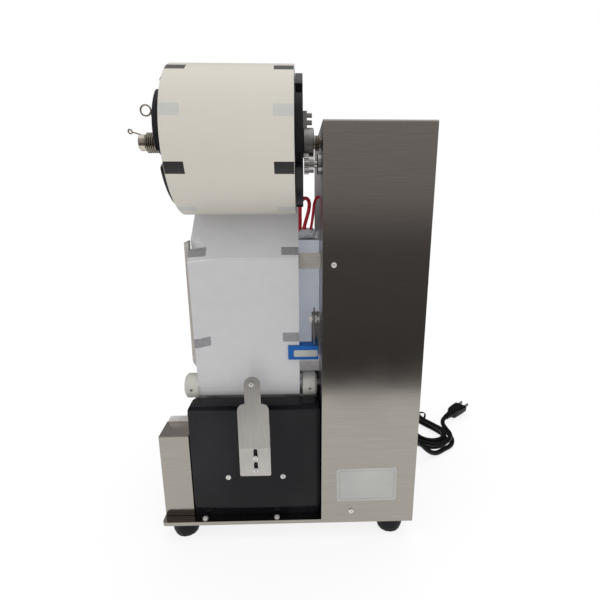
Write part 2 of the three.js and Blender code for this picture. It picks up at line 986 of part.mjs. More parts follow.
// Rear cover: a bevelled hood with rounded top corners, open to the drawer and below
function rearHood() {
  const [left, right] = [wallLeft + touchGap * 2, -rearCover.sideGap];
  const bottom = tray.top + touchGap;
  const [near, far] = [rearCover.nearFace, rearCover.nearFace + rearCover.depth];
  const bevel = rearCover.edgeBevel;
  const outer = archOutline(left + bevel, right - bevel, bottom, rearCover.top - bevel, rearCover.cornerRadius);
  const geometry = new THREE.ExtrudeGeometry(outer, {
    depth: far - near,
    bevelSize: bevel,
    bevelThickness: bevel,
    bevelSegments: 2,
    curveSegments: arcSteps,
  });
  geometry.applyMatrix4(new THREE.Matrix4().makeBasis(...axisFrames.y));
  geometry.translate(0, far + bevel, 0);
  const inner = archOutline(
    left + rearCover.wall,
    right - rearCover.wall,
    bottom - cutOverrun - bevel,
    rearCover.top - rearCover.wall,
    rearCover.cornerRadius,
  );
  const hollow = push("y", inner, near + rearCover.wall, far + cutOverrun);
  const reach = [left - cutOverrun, right + cutOverrun];
  const behind = block(reach, [far, far + bevel * 2 + cutOverrun], [0, rearCover.top + cutOverrun]);
  const below = block(reach, [near - cutOverrun, far + cutOverrun], [0, bottom]);
  return cut(solidOf(geometry), hollow, behind, below);
}

function archOutline(u0, u1, v0, v1, radius) {
  const shape = new THREE.Shape();
  shape.moveTo(u0, v0);
  shape.lineTo(u1, v0);
  shape.lineTo(u1, v1 - radius);
  shape.absarc(u1 - radius, v1 - radius, radius, 0, Math.PI / 2);
  shape.lineTo(u0 + radius, v1);
  shape.absarc(u0 + radius, v1 - radius, radius, Math.PI / 2, Math.PI);
  return shape;
}

// Left rail box, open below, with its drawer runners
function leftRailBox() {
  const bottom = tray.top + touchGap;
  const sheet = railBox.sheet;
  const farFace = tower.depth - railBox.farGap;
  const side = (inset) => [
    [railBox.nearFace + inset, bottom - (inset ? cutOverrun : 0)],
    [farFace - inset, bottom - (inset ? cutOverrun : 0)],
    [farFace - inset, railBox.highTop - inset],
    [railBox.stepY + inset, railBox.highTop - inset],
    [railBox.stepY + inset, railBox.lowTop - inset],
    [railBox.nearFace + inset, railBox.lowTop - inset],
  ];
  const full = push("x", polygon(side(0)), boxLeft, wallLeft);
  const hollow = push("x", polygon(side(sheet)), boxLeft + sheet, wallLeft - sheet);
  return join(cut(full, hollow), ...runnerRibs(wallLeft, 1));
}

// Finger bracket: the tongue on its wide body, and the slotted plate behind it
function filmFinger() {
  const half = finger.tongueWidth / 2;
  const wide = finger.bodyWidth / 2;
  const x = fingerX;
  const shape = new THREE.Shape();
  shape.moveTo(x - wide, finger.bodyBottom);
  shape.lineTo(x + wide, finger.bodyBottom);
  shape.lineTo(x + wide, finger.bodyTop - finger.shoulder);
  shape.quadraticCurveTo(x + wide, finger.bodyTop, x + half, finger.bodyTop);
  shape.lineTo(x + half, finger.tongueTop - half);
  shape.absarc(x, finger.tongueTop - half, half, 0, Math.PI);
  shape.lineTo(x - half, finger.bodyTop);
  shape.quadraticCurveTo(x - wide, finger.bodyTop, x - wide, finger.bodyTop - finger.shoulder);
  const far = rearCover.nearFace - finger.sheet - 2 * touchGap;
  return push("y", shape, far - finger.sheet, far, 2 * arcSteps);
}

function fingerPlate() {
  const half = finger.plateWidth / 2;
  const x = fingerX;
  const outline = roundedOutline(
    x - half,
    x + half,
    finger.plateBottom,
    finger.plateTop,
    2 * edgeRound,
  );
  const far = rearCover.nearFace - touchGap;
  const plate = push("y", outline, far - finger.sheet, far);
  const slots = [finger.lowerSlotZ, finger.upperSlotZ].map((z) =>
    push(
      "y",
      slotOutline(x + finger.slotOffsetX, z, finger.slotWidth, finger.slotLength),
      far - finger.sheet - cutOverrun,
      far + cutOverrun,
    ),
  );
  return cut(plate, ...slots);
}

// Film path pieces
function guidePlate() {
  const [left, right] = [filmLeft - guide.leftBeyondFilm, filmRight - guide.rightBeyondFilm];
  const far = guide.nearFace + guide.sheet;
  const { armTop, cornerRadius } = guide;
  const armBottom = armTop - guide.armHeight;
  const earTop = armTop + guide.earRise;
  const web = new THREE.Shape();
  web.moveTo(left + cornerRadius, guide.bottom);
  web.lineTo(right, guide.bottom);
  web.lineTo(right, armTop);
  web.lineTo(left + guide.earWidth, armTop);
  web.lineTo(left + guide.earWidth, earTop);
  web.lineTo(left, earTop);
  web.lineTo(left, guide.bottom + cornerRadius);
  web.absarc(left + cornerRadius, guide.bottom + cornerRadius, cornerRadius, Math.PI, 1.5 * Math.PI);
  const plate = push("y", web, guide.nearFace, far, 2 * arcSteps);
  const sideFlange = block(
    [left, left + guide.sheet],
    [guide.nearFace, far + guide.flangeDepth],
    [guide.bottom + cornerRadius, earTop],
  );
  const arm = block([right - edgeRound, -touchGap], [guide.nearFace, far], [armBottom, armTop]);
  const endFlange = block(
    [-touchGap - guide.sheet, -touchGap],
    [guide.nearFace, far + guide.endFlange],
    [armBottom, armTop],
  );
  const hole = rod(
    "y",
    guide.holeRadius,
    guide.nearFace - cutOverrun,
    far + cutOverrun,
    [left + guide.holeInset, 0, guide.bottom + guide.holeRise],
    facets.small,
  );
  const sensorNotch = block(
    [-sensor.left - sensor.notchMargin, right + cutOverrun],
    [guide.nearFace - cutOverrun, far + cutOverrun],
    [sensor.bottom - sensor.notchMargin, sensor.top + sensor.notchMargin],
  );
  return cut(join(plate, sideFlange, arm, endFlange, guideNose()), hole, sensorNotch);
}

// Rounded nose on the guide plate, over which the film bends
function guideNose() {
  const [y, z, r] = [guide.noseNearFace, noseTop, guide.noseRadius];
  const bottom = noseTop - guide.noseHeight;
  const root = guide.nearFace + edgeRound / 2;
  const lean = THREE.MathUtils.degToRad(guide.noseLeanDegrees);
  const recess = guide.noseHeight * Math.tan(lean);
  const shape = new THREE.Shape();
  shape.moveTo(root, bottom);
  shape.lineTo(root, z);
  shape.lineTo(y + r, z);
  shape.absarc(y + r, z - r, r, Math.PI / 2, Math.PI + lean);
  shape.lineTo(y + recess, bottom);
  return push("x", shape, filmLeft + guide.noseLeftInset, filmRight - guide.noseRightInset);
}

// Fork sensor: two prongs with the film's edge between them, and the web that joins them
function sensorBody() {
  const near = sensor.nearFace;
  const far = near + sensor.depth;
  const slotNear = near + sensor.nearProng;
  const shape = polygon([
    [-sensor.left, near],
    [-sensor.right, near],
    [-sensor.right, far],
    [-sensor.left, far],
    [-sensor.left, slotNear + sensor.slot],
    [-sensor.web, slotNear + sensor.slot],
    [-sensor.web, slotNear],
    [-sensor.left, slotNear],
  ]);
  return push("z", shape, sensor.bottom, sensor.top);
}

// Sensor arm: a strip behind the sensor with a foot on the tower wall
function sensorArm() {
  const near = sensor.nearFace + sensor.depth + touchGap;
  const strip = block(
    [-sensor.right - sensor.armWidth, -touchGap],
    [near, near + sensor.armSheet],
    [sensor.bottom, sensor.armTop],
  );
  const wallFoot = block(
    [-touchGap - sensor.armSheet, -touchGap],
    [near - sensor.footDepth, near + sensor.armSheet],
    [sensor.top + sensor.notchMargin, sensor.armTop],
  );
  return join(strip, wallFoot);
}

function filmWeb() {
  const half = film.thickness / 2;
  const line = filmLine();
  const edge = (side) =>
    line.map(({ y, z, angle }) => [
      y + side * half * Math.cos(angle),
      z + side * half * Math.sin(angle),
    ]);
  const outline = polygon([...edge(1), ...edge(-1).reverse()]);
  const ribbon = push("x", outline, filmLeft, filmRight);
  const holeZ = (roller.axisZ + takeup.axisZ) / 2;
  const holeSpan = [frontRollerY, takeupY + takeup.filmRadius + 2 * filmSkin + cutOverrun];
  return cut(ribbon, rod("y", drawer.rimSeatRadius, ...holeSpan, [cupX, 0, holeZ], facets.medium));
}

// Roll of film with its paper core
function filmRoll() {
  return pipe("x", roll.radius, roll.bore, rollLeft, rollRight, supplyCentre, facets.large);
}

// Notched flange with the spigot that carries the roll's core
function notchedFlange(left, right, spigotDirection) {
  const bore = supplyShaft.radius + touchGap;
  const disc = pipe("x", flange.radius, bore, left, right, supplyCentre, facets.wide);
  const root = spigotDirection > 0 ? right - edgeRound : left + edgeRound;
  const tip = root + spigotDirection * (flange.spigotLength + edgeRound);
  const spigot = pipe(
    "x",
    roll.bore - touchGap,
    roll.bore - touchGap - flange.spigotWall,
    Math.min(root, tip),
    Math.max(root, tip),
    supplyCentre,
    facets.medium,
  );
  const notches = [];
  for (let i = 0; i < flange.notches; i += 1) {
    notches.push(flangeNotch(left, right, flange.firstNotchDegrees + (360 * i) / flange.notches));
  }
  return cut(join(disc, spigot), ...notches);
}

function flangeNotch(left, right, degrees) {
  const geometry = new THREE.BoxGeometry(
    right - left + 2 * cutOverrun,
    flange.notchDepth + cutOverrun,
    flange.notchWidth,
  );
  geometry.translate((left + right) / 2, flange.radius - (flange.notchDepth - cutOverrun) / 2, 0);
  geometry.rotateX(THREE.MathUtils.degToRad(degrees));
  geometry.translate(...supplyCentre);
  return solidOf(geometry);
}

function outerFlange() {
  const hub = pipe(
    "x",
    flange.hubRadius,
    supplyShaft.radius + touchGap,
    hubLeft,
    outerFlangeLeft + edgeRound,
    supplyCentre,
    facets.medium,
  );
  return join(notchedFlange(outerFlangeLeft, outerFlangeRight, 1), hub);
}

function innerFlange() {
  return notchedFlange(innerFlangeLeft, innerFlangeRight, -1);
}

// Brake block on top of the collar, with its two bolts
function brakeBlock() {
  const [y, half] = [roll.axisY, brake.width / 2];
  const right = collarLeft + brake.thickness;
  const root = roll.axisZ + collar.radius - edgeRound;
  const top = brake.bottomZ + brake.height;
  const body = block([collarLeft, right], [y - half, y + half], [root, top]);
  const bolts = [brake.bottomZ + brake.boltInset, top - brake.boltInset].map((z) =>
    rod("x", brake.boltRadius, right - edgeRound, right + brake.boltHead, [0, y, z], brake.boltSides),
  );
  return join(body, ...bolts);
}

// Supply shaft: thick through the roll, a neck through the wall, a nut inside the tower
function supplySpindle() {
  const { radius, neckRadius, capLength, chamfer, inside, nutThickness, nutRadius } = supplyShaft;
  const end = supplyShaft.endBeyondHub - hubLeft;
  const nutStart = wallInside + inside - nutThickness;
  const profile = [
    [0, -end],
    [radius - chamfer, -end],
    [radius, -end + chamfer],
    [radius, -end + capLength],
    [radius - 2 * touchGap, -end + capLength + touchGap],
    [radius - 2 * touchGap, hubLeft - touchGap],
    [radius, hubLeft],
    [radius, innerFlangeRight],
    [neckRadius, innerFlangeRight],
    [neckRadius, nutStart],
    [nutRadius, nutStart],
    [nutRadius, nutStart + nutThickness],
    [0, nutStart + nutThickness],
  ];
  return turn("x", profile, supplyCentre, facets.medium);
}

// Brake collar that the short spring presses against the inner flange
function brakeCollar() {
  const bore = supplyShaft.neckRadius + touchGap;
  const { radius } = collar;
  const profile = [
    [bore, collarLeft],
    [radius - edgeRound, collarLeft],
    [radius, collarLeft + edgeRound],
    [radius, collarRight - edgeRound],
    [radius - edgeRound, collarRight],
    [bore, collarRight],
    [bore, collarLeft],
  ];
  return join(turn("x", profile, supplyCentre, facets.wide), brakeBlock());
}

// Short compression spring between collar and wall
function collarSpring() {
  const room = touchGap + brakeSpring.wire / 2;
  const points = helix(
    "x",
    brakeSpring.meanRadius,
    collarRight + room,
    -room,
    brakeSpring.curls,
    [roll.axisY, roll.axisZ],
    90,
  );
  printLeastGap("brake_spring", points, brakeSpring.wire);
  return tubeThrough(points, brakeSpring.wire / 2, facets.curlSides);
}

// Torsion spring on the shaft's end: finger ring, leg, curls and arm, one unbroken wire
function lockingSpring() {
  const wire = lockSpring.wire;
  const start = hubLeft - touchGap - wire / 2;
  const coil = helix(
    "x",
    lockSpring.meanRadius,
    start,
    start - lockSpring.curls * lockSpring.pitch,
    lockSpring.curls,
    [roll.axisY, roll.axisZ],
    180,
  );
  const points = [...fingerRing(), ...coil, ...springArm(coil.at(-1))];
  printLeastGap("lock_spring", points, wire);
  return tubeThrough(points, wire / 2, facets.curlSides);
}

function fingerRing() {
  const y = roll.axisY - lockSpring.meanRadius + lockSpring.ringOffsetY;
  const ring = [];
  const turnAngle = THREE.MathUtils.degToRad(lockSpring.ringTurnDegrees);
  const steps = 2 * facets.curl;
  for (let i = 0; i <= steps; i += 1) {
    const angle = turnAngle * (1 - i / steps);
    ring.push(
      new THREE.Vector3(
        hubLeft - lockSpring.ringBeyondHub + lockSpring.ringRadius * Math.cos(angle),
        y,
        roll.axisZ + lockSpring.ringRise + lockSpring.ringRadius * Math.sin(angle),
      ),
    );
  }
  const last = ring.at(-1);
  const legFoot = new THREE.Vector3(
    hubLeft - touchGap - lockSpring.wire / 2,
    roll.axisY - lockSpring.meanRadius,
    roll.axisZ + lockSpring.meanRadius,
  );
  return [...ring, last.clone().lerp(legFoot, 1 / 2), legFoot];
}

function springArm(coilEnd) {
  const tip = new THREE.Vector3(
    hubLeft - lockSpring.armBeyondHub,
    coilEnd.y,
    roll.axisZ + lockSpring.armTipRise,
  );
  const start = new THREE.Vector3(coilEnd.x - lockSpring.wire / 2, coilEnd.y, coilEnd.z + lockSpring.armRise);
  return [start, start.clone().lerp(tip, 1 / 2), tip];
}

function supplyBearing() {
  const bore = supplyShaft.neckRadius + touchGap;
  const outerEnd = wallInside + supplyShaft.inside - supplyShaft.nutThickness - touchGap;
  const flangeRadius = tower.top - tower.sheet - roll.axisZ - edgeRound;
  const profile = [
    [bore, 0],
    [bearingSpigot(), 0],
    [bearingSpigot(), wallInside],
    [flangeRadius, wallInside],
    [flangeRadius, wallInside + tower.wallSheet],
    [bearingSpigot() + tower.wallSheet, wallInside + tower.wallSheet],
    [bearingSpigot() + tower.wallSheet, outerEnd],
    [bore, outerEnd],
    [bore, 0],
  ];
  return turn("x", profile, supplyCentre, facets.medium);
}

// Knurled wheel, hub and its shaft through the wall
function knurledWheel() {
  const rimEnd = -thumbWheel.rimStart + thumbWheel.rimWidth;
  const hubEnd = rimEnd + thumbWheel.hubWidth;
  const insideEnd = wallInside + thumbWheel.inside;
  const profile = [
    [0, -thumbWheel.rimStart + edgeRound],
    [thumbWheel.hubRadius, -thumbWheel.rimStart + edgeRound],
    [thumbWheel.hubRadius, hubEnd],
    [thumbWheel.shaftRadius, hubEnd],
    [thumbWheel.shaftRadius, insideEnd],
    [0, insideEnd],
  ];
  const hub = turn("x", profile, thumbCentre, facets.medium);
  const rim = push("x", ridgedOutline(), -thumbWheel.rimStart, rimEnd);
  const hole = rod(
    "y",
    thumbWheel.setHole,
    thumbWheel.axisY - thumbWheel.radius - cutOverrun,
    thumbWheel.axisY - thumbWheel.shaftRadius,
    [(rimEnd + hubEnd) / 2, 0, thumbWheel.axisZ],
    facets.tiny,
  );
  return cut(join(hub, rim), hole);
}

function ridgedOutline() {
  const points = [];
  const total = 2 * thumbWheel.ridges;
  for (let i = 0; i < 2 * total; i += 1) {
    const low = i % 4 > 1;
    const radius = thumbWheel.radius - (low ? thumbWheel.ridgeHeight : 0);
    const angle = (Math.PI * i) / total;
    points.push([thumbWheel.axisY + radius * Math.cos(angle), thumbWheel.axisZ + radius * Math.sin(angle)]);
  }
  return polygon(points);
}

function thumbWheelBush() {
  const bore = thumbWheel.shaftRadius + touchGap;
  const insideEnd = wallInside + thumbWheel.inside / 2;
  const profile = [
    [bore, -wallHub.thickness],
    [wallHub.radius - edgeRound, -wallHub.thickness],
    [wallHub.radius, -wallHub.thickness + edgeRound],
    [wallHub.radius, -touchGap],
    [thumbSpigot(), -touchGap],
    [thumbSpigot(), insideEnd],
    [bore, insideEnd],
    [bore, -wallHub.thickness],
  ];
  const hole = rod(
    "y",
    wallHub.setHole,
    thumbWheel.axisY - wallHub.radius - cutOverrun,
    thumbWheel.axisY - thumbSpigot(),
    [-wallHub.thickness / 2, 0, thumbWheel.axisZ],
    facets.tiny,
  );
  return cut(turn("x", profile, thumbCentre, facets.medium), hole);
}

// Roller on its rod, which runs in the wall's bush and has a nut inside the tower
function filmRoller(y, rodLeft) {
  const { rodRadius, radius, nutRadius, nutThickness } = roller;
  const profile = [
    [0, rodLeft],
    [rodRadius, rodLeft],
    [rodRadius, rollerLeft],
    [radius - edgeRound, rollerLeft],
    [radius, rollerLeft + edgeRound],
    [radius, rollerRight - edgeRound],
    [radius - edgeRound, rollerRight],
    [rodRadius, rollerRight],
    [rodRadius, wallInside],
    [nutRadius, wallInside],
    [nutRadius, wallInside + nutThickness],
    [0, wallInside + nutThickness],
  ];
  return turn("x", profile, [0, y, roller.axisZ], facets.medium);
}

// Collar beside the rear roller, chamfered on the outer side, with a set-screw hole
function rollerCollar(inner, outer) {
  const direction = Math.sign(outer - inner);
  const bore = roller.rodRadius + touchGap;
  const profile = [
    [bore, inner],
    [roller.collarRadius, inner],
    [roller.collarRadius, outer - direction * roller.collarChamfer],
    [roller.collarRadius - roller.collarChamfer, outer],
    [bore, outer],
    [bore, inner],
  ];
  const body = turn("x", profile, [0, roller.rearY, roller.axisZ], facets.medium);
  const hole = rod(
    "y",
    roller.setHole,
    roller.rearY - roller.collarRadius - cutOverrun,
    roller.rearY,
    [(inner + outer) / 2, 0, roller.axisZ],
    facets.tiny,
  );
  return cut(body, hole);
}

// Head frame
function headTopPlate() {
  const near = headNear + head.rearSheet + touchGap;
  return block([headLeft, headRight], [near, headFar], [head.topBottom, head.topTop]);
}

function headLowerPlate() {
  const plate = block([headLeft, headRight], [headNear, headFar], [head.lowerBottom, head.lowerTop]);
  const hole = rod(
    "z",
    head.lowerHoleRadius,
    head.lowerBottom - cutOverrun,
    head.lowerTop + cutOverrun,
    [cupX, cupY, 0],
    facets.wide,
  );
  return cut(plate, hole);
}

function headRearPlate() {
  return block(
    [headLeft, headRight],
    [headNear, headNear + head.rearSheet],
    [head.lowerTop + touchGap, head.topTop],
  );
}

function guidePost(y) {
  const span = [head.lowerTop + touchGap, head.topBottom - touchGap];
  return rod("z", head.postRadius, ...span, [postX, y, 0], facets.small);
}

function returnSpring(name, y) {
  const room = touchGap + head.springWire / 2;
  const points = helix(
    "z",
    head.springMeanRadius,
    head.lowerTop + room,
    head.carriageBottom - room,
    head.springCurls,
    [postX, y],
    0,
  );
  printLeastGap(name, points, head.springWire);
  return tubeThrough(points, head.springWire / 2, facets.curlSides);
}

// Carriage: plate on the two posts, arm through the wall and the rack inside the tower
function carriagePlate() {
  const near = headNear + head.rearSheet + head.carriageInset;
  const [low, high] = [head.carriageBottom, head.carriageTop];
  const plate = block([headLeft, -head.carriageInset], [near, headFar], [low, high]);
  const arm = block(
    [-head.carriageInset - edgeRound, lift.rackX + edgeRound],
    [armNear + toothDepth, armFar],
    [low, high],
  );
  const posts = Object.values(postYs);
  const bosses = posts.map((y) =>
    rod("z", head.bushRadius, low + edgeRound, high + head.bushHeight, [postX, y, 0], facets.small),
  );
  const holes = posts.map((y) =>
    rod(
      "z",
      head.postRadius + touchGap,
      low - cutOverrun,
      high + head.bushHeight + cutOverrun,
      [postX, y, 0],
      facets.small,
    ),
  );
  return cut(join(plate, arm, ...bosses, rack()), ...holes);
}

// Rack with straight-sided teeth towards the pinion
function rack() {
  const pitch = Math.PI * lift.gearModule;
  const slope = Math.tan(THREE.MathUtils.degToRad(lift.pressureDegrees));
  const tipY = armNear - lift.gearModule;
  const rootY = armNear + toothDepth;
  const halfAtPitch = pitch / 4 - lift.backlash / 2;
  const halfTip = halfAtPitch - slope * lift.gearModule;
  const halfRoot = halfAtPitch + slope * toothDepth;
  const below = Math.floor((lift.pinionZ - lift.rackBottom - halfRoot) / pitch);
  const above = Math.floor((lift.rackTop - lift.pinionZ - halfRoot) / pitch);
  const points = [[rootY, lift.rackBottom]];
  for (let i = -below; i <= above; i += 1) {
    const z = lift.pinionZ + i * pitch;
    points.push([rootY, z - halfRoot], [tipY, z - halfTip], [tipY, z + halfTip], [rootY, z + halfRoot]);
  }
  points.push([rootY, lift.rackTop], [armFar, lift.rackTop], [armFar, lift.rackBottom]);
  return push("x", polygon(points.reverse()), lift.rackX, lift.rackX + lift.rackThickness);
}

// Pinion with its shaft into the motor; a tooth gap faces the rack at rest
function liftPinion() {
  const { gearModule, pinionTeeth, backlash } = lift;
  const pitchRadius = (gearModule * pinionTeeth) / 2;
  const centreY = pinionCentreY();
  const toothAngle = (2 * Math.PI) / pinionTeeth;
  const halfAtPitch = toothAngle / 4 - backlash / 2 / pitchRadius;
  const slope = Math.tan(THREE.MathUtils.degToRad(lift.pressureDegrees)) / pitchRadius;
  const [tip, root] = [pitchRadius + gearModule, pitchRadius - toothDepth];
  const halfTip = halfAtPitch - slope * gearModule - slope * backlash;
  const halfRoot = halfAtPitch + slope * toothDepth;
  const points = [];
  for (let i = 0; i < pinionTeeth; i += 1) {
    const middle = (i + 1 / 2) * toothAngle;
    const corners = [
      [root, middle - halfRoot],
      [tip, middle - halfTip],
      [tip, middle + halfTip],
      [root, middle + halfRoot],
    ];
    corners.forEach(([radius, angle]) => {
      points.push([centreY + radius * Math.cos(angle), lift.pinionZ + radius * Math.sin(angle)]);
    });
  }
  const gear = push("x", polygon(points), lift.rackX, lift.rackX + lift.rackThickness);
  const shaftEnd = lift.flangeX + lift.shaftIntoMotor;
  const centre = [0, centreY, lift.pinionZ];
  return join(gear, rod("x", lift.pinionBore, lift.rackX, shaftEnd, centre, facets.small));
}

function pinionCentreY() {
  return armNear - (lift.gearModule * lift.pinionTeeth) / 2 - lift.backlash;
}

// Lift motor on a flange that stands off the wall on four legs
function liftMotor() {
  const legYs = [armNear - lift.nearLegReach, armNear + lift.farLegReach];
  const [near, far] = [legYs[0] - lift.legInset, legYs[1] + lift.legInset];
  const [low, high] = [lift.pinionZ - lift.flangeHeight / 2, lift.pinionZ + lift.flangeHeight / 2];
  const face = lift.flangeX + lift.flangeThickness;
  const plate = block([lift.flangeX, face], [near, far], [low, high]);
  const legs = [];
  for (const y of legYs) {
    for (const z of [low + lift.legInset, high - lift.legInset]) {
      legs.push(rod("x", lift.legRadius, wallInside, lift.flangeX + edgeRound, [0, y, z], facets.tiny));
    }
  }
  const centre = [0, pinionCentreY(), lift.pinionZ];
  const can = rod("x", lift.motorRadius, face - edgeRound, face + lift.motorLength, centre, facets.medium);
  const shaftHole = rod(
    "x",
    lift.pinionBore + touchGap,
    lift.flangeX - cutOverrun,
    lift.flangeX + lift.shaftIntoMotor + touchGap,
    centre,
    facets.small,
  );
  return cut(join(plate, can, ...legs), shaftHole);
}

// Heater: die with its cutter edge, and the stem up to the carriage
function heaterBlock() {
  const { dieRadius, dieHeight, stemRadius, cutterWall, cutterDepth } = head;
  const bottom = head.lowerBottom;
  const profile = [
    [0, bottom + cutterDepth],
    [dieRadius - cutterWall, bottom + cutterDepth],
    [dieRadius - cutterWall, bottom],
    [dieRadius - cutterWall / 2, bottom],
    [dieRadius, bottom + cutterWall],
    [dieRadius, bottom + dieHeight - edgeRound],
    [dieRadius - edgeRound, bottom + dieHeight],
    [stemRadius, bottom + dieHeight],
    [stemRadius, head.carriageBottom - touchGap],
    [0, head.carriageBottom - touchGap],
  ];
  return turn("z", profile, [cupX, cupY, 0], facets.wide);
}

// Terminal block with grooves between its poles
function terminalBlock() {
  const bottom = head.topTop + touchGap;
  const top = bottom + terminals.height;
  const near = headNear + terminals.inset;
  const span = [near, near + terminals.depth];
  const left = cupX - terminals.cupOffset - terminals.length / 2;
  const body = block([left, left + terminals.length], span, [bottom, top]);
  const pitch = terminals.length / terminals.bars;
  const grooves = [];
  for (let i = 1; i < terminals.bars; i += 1) {
    const x = left + i * pitch;
    const half = terminals.grooveWidth / 2;
    grooves.push(
      block(
        [x - half, x + half],
        [span[0] - cutOverrun, span[1] + cutOverrun],
        [top - terminals.grooveDepth, top + cutOverrun],
      ),
    );
  }
  return cut(body, ...grooves);
}

// Red heater lead from the head's top plate up and over to the tower wall
function redLead() {
  const { startX, peakZ, wallZ, radius } = heaterLead;
  const startY = headNear + heaterLead.inset;
  const foot = head.topTop + touchGap;
  const route = new THREE.CatmullRomCurve3([
    new THREE.Vector3(startX, startY, foot),
    new THREE.Vector3(startX, startY, (foot + peakZ) / 2),
    new THREE.Vector3((3 * startX) / 4, startY, peakZ),
    new THREE.Vector3(-touchGap - 2 * radius, startY, wallZ),
  ]);
  const end = new THREE.Vector3(-touchGap, startY, wallZ);
  return tubeThrough([...route.getPoints(3 * arcSteps), end], radius, facets.curlSides);
}

// Take-up side
function takeupReel() {
  const left = filmLeft - takeup.flangeGap - takeup.flangeThickness;
  const right = filmRight + takeup.flangeGap + takeup.flangeThickness;
  const { coreRadius, flangeRadius, flangeThickness, shaftRadius } = takeup;
  const profile = [
    [0, left],
    [flangeRadius, left],
    [flangeRadius, left + flangeThickness],
    [coreRadius, left + flangeThickness],
    [coreRadius, right - flangeThickness],
    [flangeRadius, right - flangeThickness],
    [flangeRadius, right],
    [shaftRadius, right],
    [shaftRadius, wallInside + takeup.shaftInside],
    [0, wallInside + takeup.shaftInside],
  ];
  return turn("x", profile, takeupCentre, facets.medium);
}

function wasteRoll() {
  const bore = takeup.coreRadius + touchGap;
  return pipe("x", takeup.filmRadius, bore, filmLeft, filmRight, takeupCentre, facets.medium);
}

function takeupMotor() {
  const { gearboxRadius, gearboxLength, motorRadius, motorLength, shaftRadius, shaftInside } = takeup;
  const face = wallInside + gearboxLength;
  const profile = [
    [0, wallInside],
    [gearboxRadius, wallInside],
    [gearboxRadius, face],
    [motorRadius, face],
    [motorRadius, face + motorLength],
    [0, face + motorLength],
  ];
  const body = turn("x", profile, takeupCentre, facets.medium);
  const hole = [wallInside - cutOverrun, wallInside + shaftInside + touchGap];
  return cut(body, rod("x", shaftRadius + touchGap, ...hole, takeupCentre, facets.small));
}

// Control board on four legs, with its relays and transformer
function controlBoard() {
  const back = wallInside + board.standOff;
  const face = back + board.thickness;
  const far = tower.depth - board.farMargin;
  const near = far - board.length;
  const plate = block([back, face], [near, far], [board.bottom, board.top]);
  const legs = [];
  for (const y of [near + board.legInset, far - board.legInset]) {
    for (const z of [board.bottom + board.legInset, board.top - board.legInset]) {
      legs.push(rod("x", board.legRadius, wallInside, back + edgeRound, [0, y, z], facets.tiny));
    }
  }
  const parts = [];
  for (let i = 0; i < board.parts; i += 1) {
    const y = near + board.legInset + i * (board.partSize + board.partGap);
    const depth = face + board.partDepth * (1 - i / (board.parts + 1));
    parts.push(
      block(
        [face - board.thickness / 2, depth],
        [y, y + board.partSize],
        [board.bottom + 2 * board.legInset, board.top - 2 * board.legInset],
      ),
    );
  }
  return join(plate, ...legs, ...parts);
}

// Drawer
function drawerShell() {
  const left = wallLeft + runner.depth + drawer.sideGap;
  const right = -runner.depth - drawer.sideGap;
  const [near, far] = [drawer.nearY, drawerFar];
  const outer = block([left, right], [near, far], [drawer.bottom, drawer.top]);
  const hollow = block(
    [left + drawer.wall, right - drawer.wall],
    [near + drawer.wall, far - drawer.wall],
    [drawer.bottom - cutOverrun, drawer.top - drawer.topSheet],
  );
  const hole = rod(
    "z",
    drawer.ringHoleRadius,
    drawer.top - drawer.topSheet - cutOverrun,
    drawer.top + cutOverrun,
    [cupX, cupY, 0],
    facets.wide,
  );
  const barZ = [runner.lowerZ + touchGap, runner.lowerZ + runner.slot - touchGap];
  const barY = [runner.nearY, runnerFar];
  const bars = [
    block([wallLeft + runningGap, left + drawer.wall / 2], barY, barZ),
    block([right - drawer.wall / 2, -runningGap], barY, barZ),
  ];
  return cut(join(outer, ...bars), hollow, hole);
}

function drawerFront() {
  const near = drawerFar + touchGap;
  const outline = roundedOutline(
    wallLeft + drawer.frontSideGap,
    -drawer.frontSideGap,
    drawer.frontBottom,
    drawer.frontTop,
    drawer.frontRadius,
  );
  return push("y", outline, near, near + drawer.frontThickness);
}

// Cup ring that drops into the drawer's hole, with a seat for the cup's rim
function cupRing() {
  const { cupRadius, ringFlangeRadius, ringTop, ringDepth, rimSeatRadius, rimSeatDepth } = drawer;
  const flangeBottom = drawer.top + touchGap;
  const collarRadius = drawer.ringHoleRadius - touchGap;
  const profile = [
    [cupRadius, flangeBottom - ringDepth],
    [collarRadius, flangeBottom - ringDepth],
    [collarRadius, flangeBottom],
    [ringFlangeRadius, flangeBottom],
    [ringFlangeRadius, ringTop - edgeRound],
    [ringFlangeRadius - edgeRound, ringTop],
    [rimSeatRadius, ringTop],
    [rimSeatRadius, ringTop - rimSeatDepth],
    [cupRadius, ringTop - rimSeatDepth],
    [cupRadius, flangeBottom - ringDepth],
  ];
  return turn("z", profile, [cupX, cupY, 0], facets.wide);
}

// Bow handle on the drawer's front
function drawerHandle() {
  const near = drawerFar + 2 * touchGap + drawer.frontThickness;
  const far = near + drawer.handleReach;
  const half = drawer.handleLength / 2;
  const radius = drawer.handleBar;
  const outer = new THREE.Shape();
  outer.moveTo(cupX - half, near);
  outer.lineTo(cupX - half, far - radius);
  outer.absarc(cupX - half + radius, far - radius, radius, Math.PI, Math.PI / 2, true);
  outer.lineTo(cupX + half - radius, far);
  outer.absarc(cupX + half - radius, far - radius, radius, Math.PI / 2, 0, true);
  outer.lineTo(cupX + half, near);
  const [low, high] = [drawer.handleZ - drawer.handleHeight / 2, drawer.handleZ + drawer.handleHeight / 2];
  const bow = push("z", outer, low, high);
  const bar = drawer.handleBar;
  const gap = block(
    [cupX - half + bar, cupX + half - bar],
    [near - cutOverrun, far - bar],
    [low - cutOverrun, high + cutOverrun],
  );
  return cut(bow, gap);
}

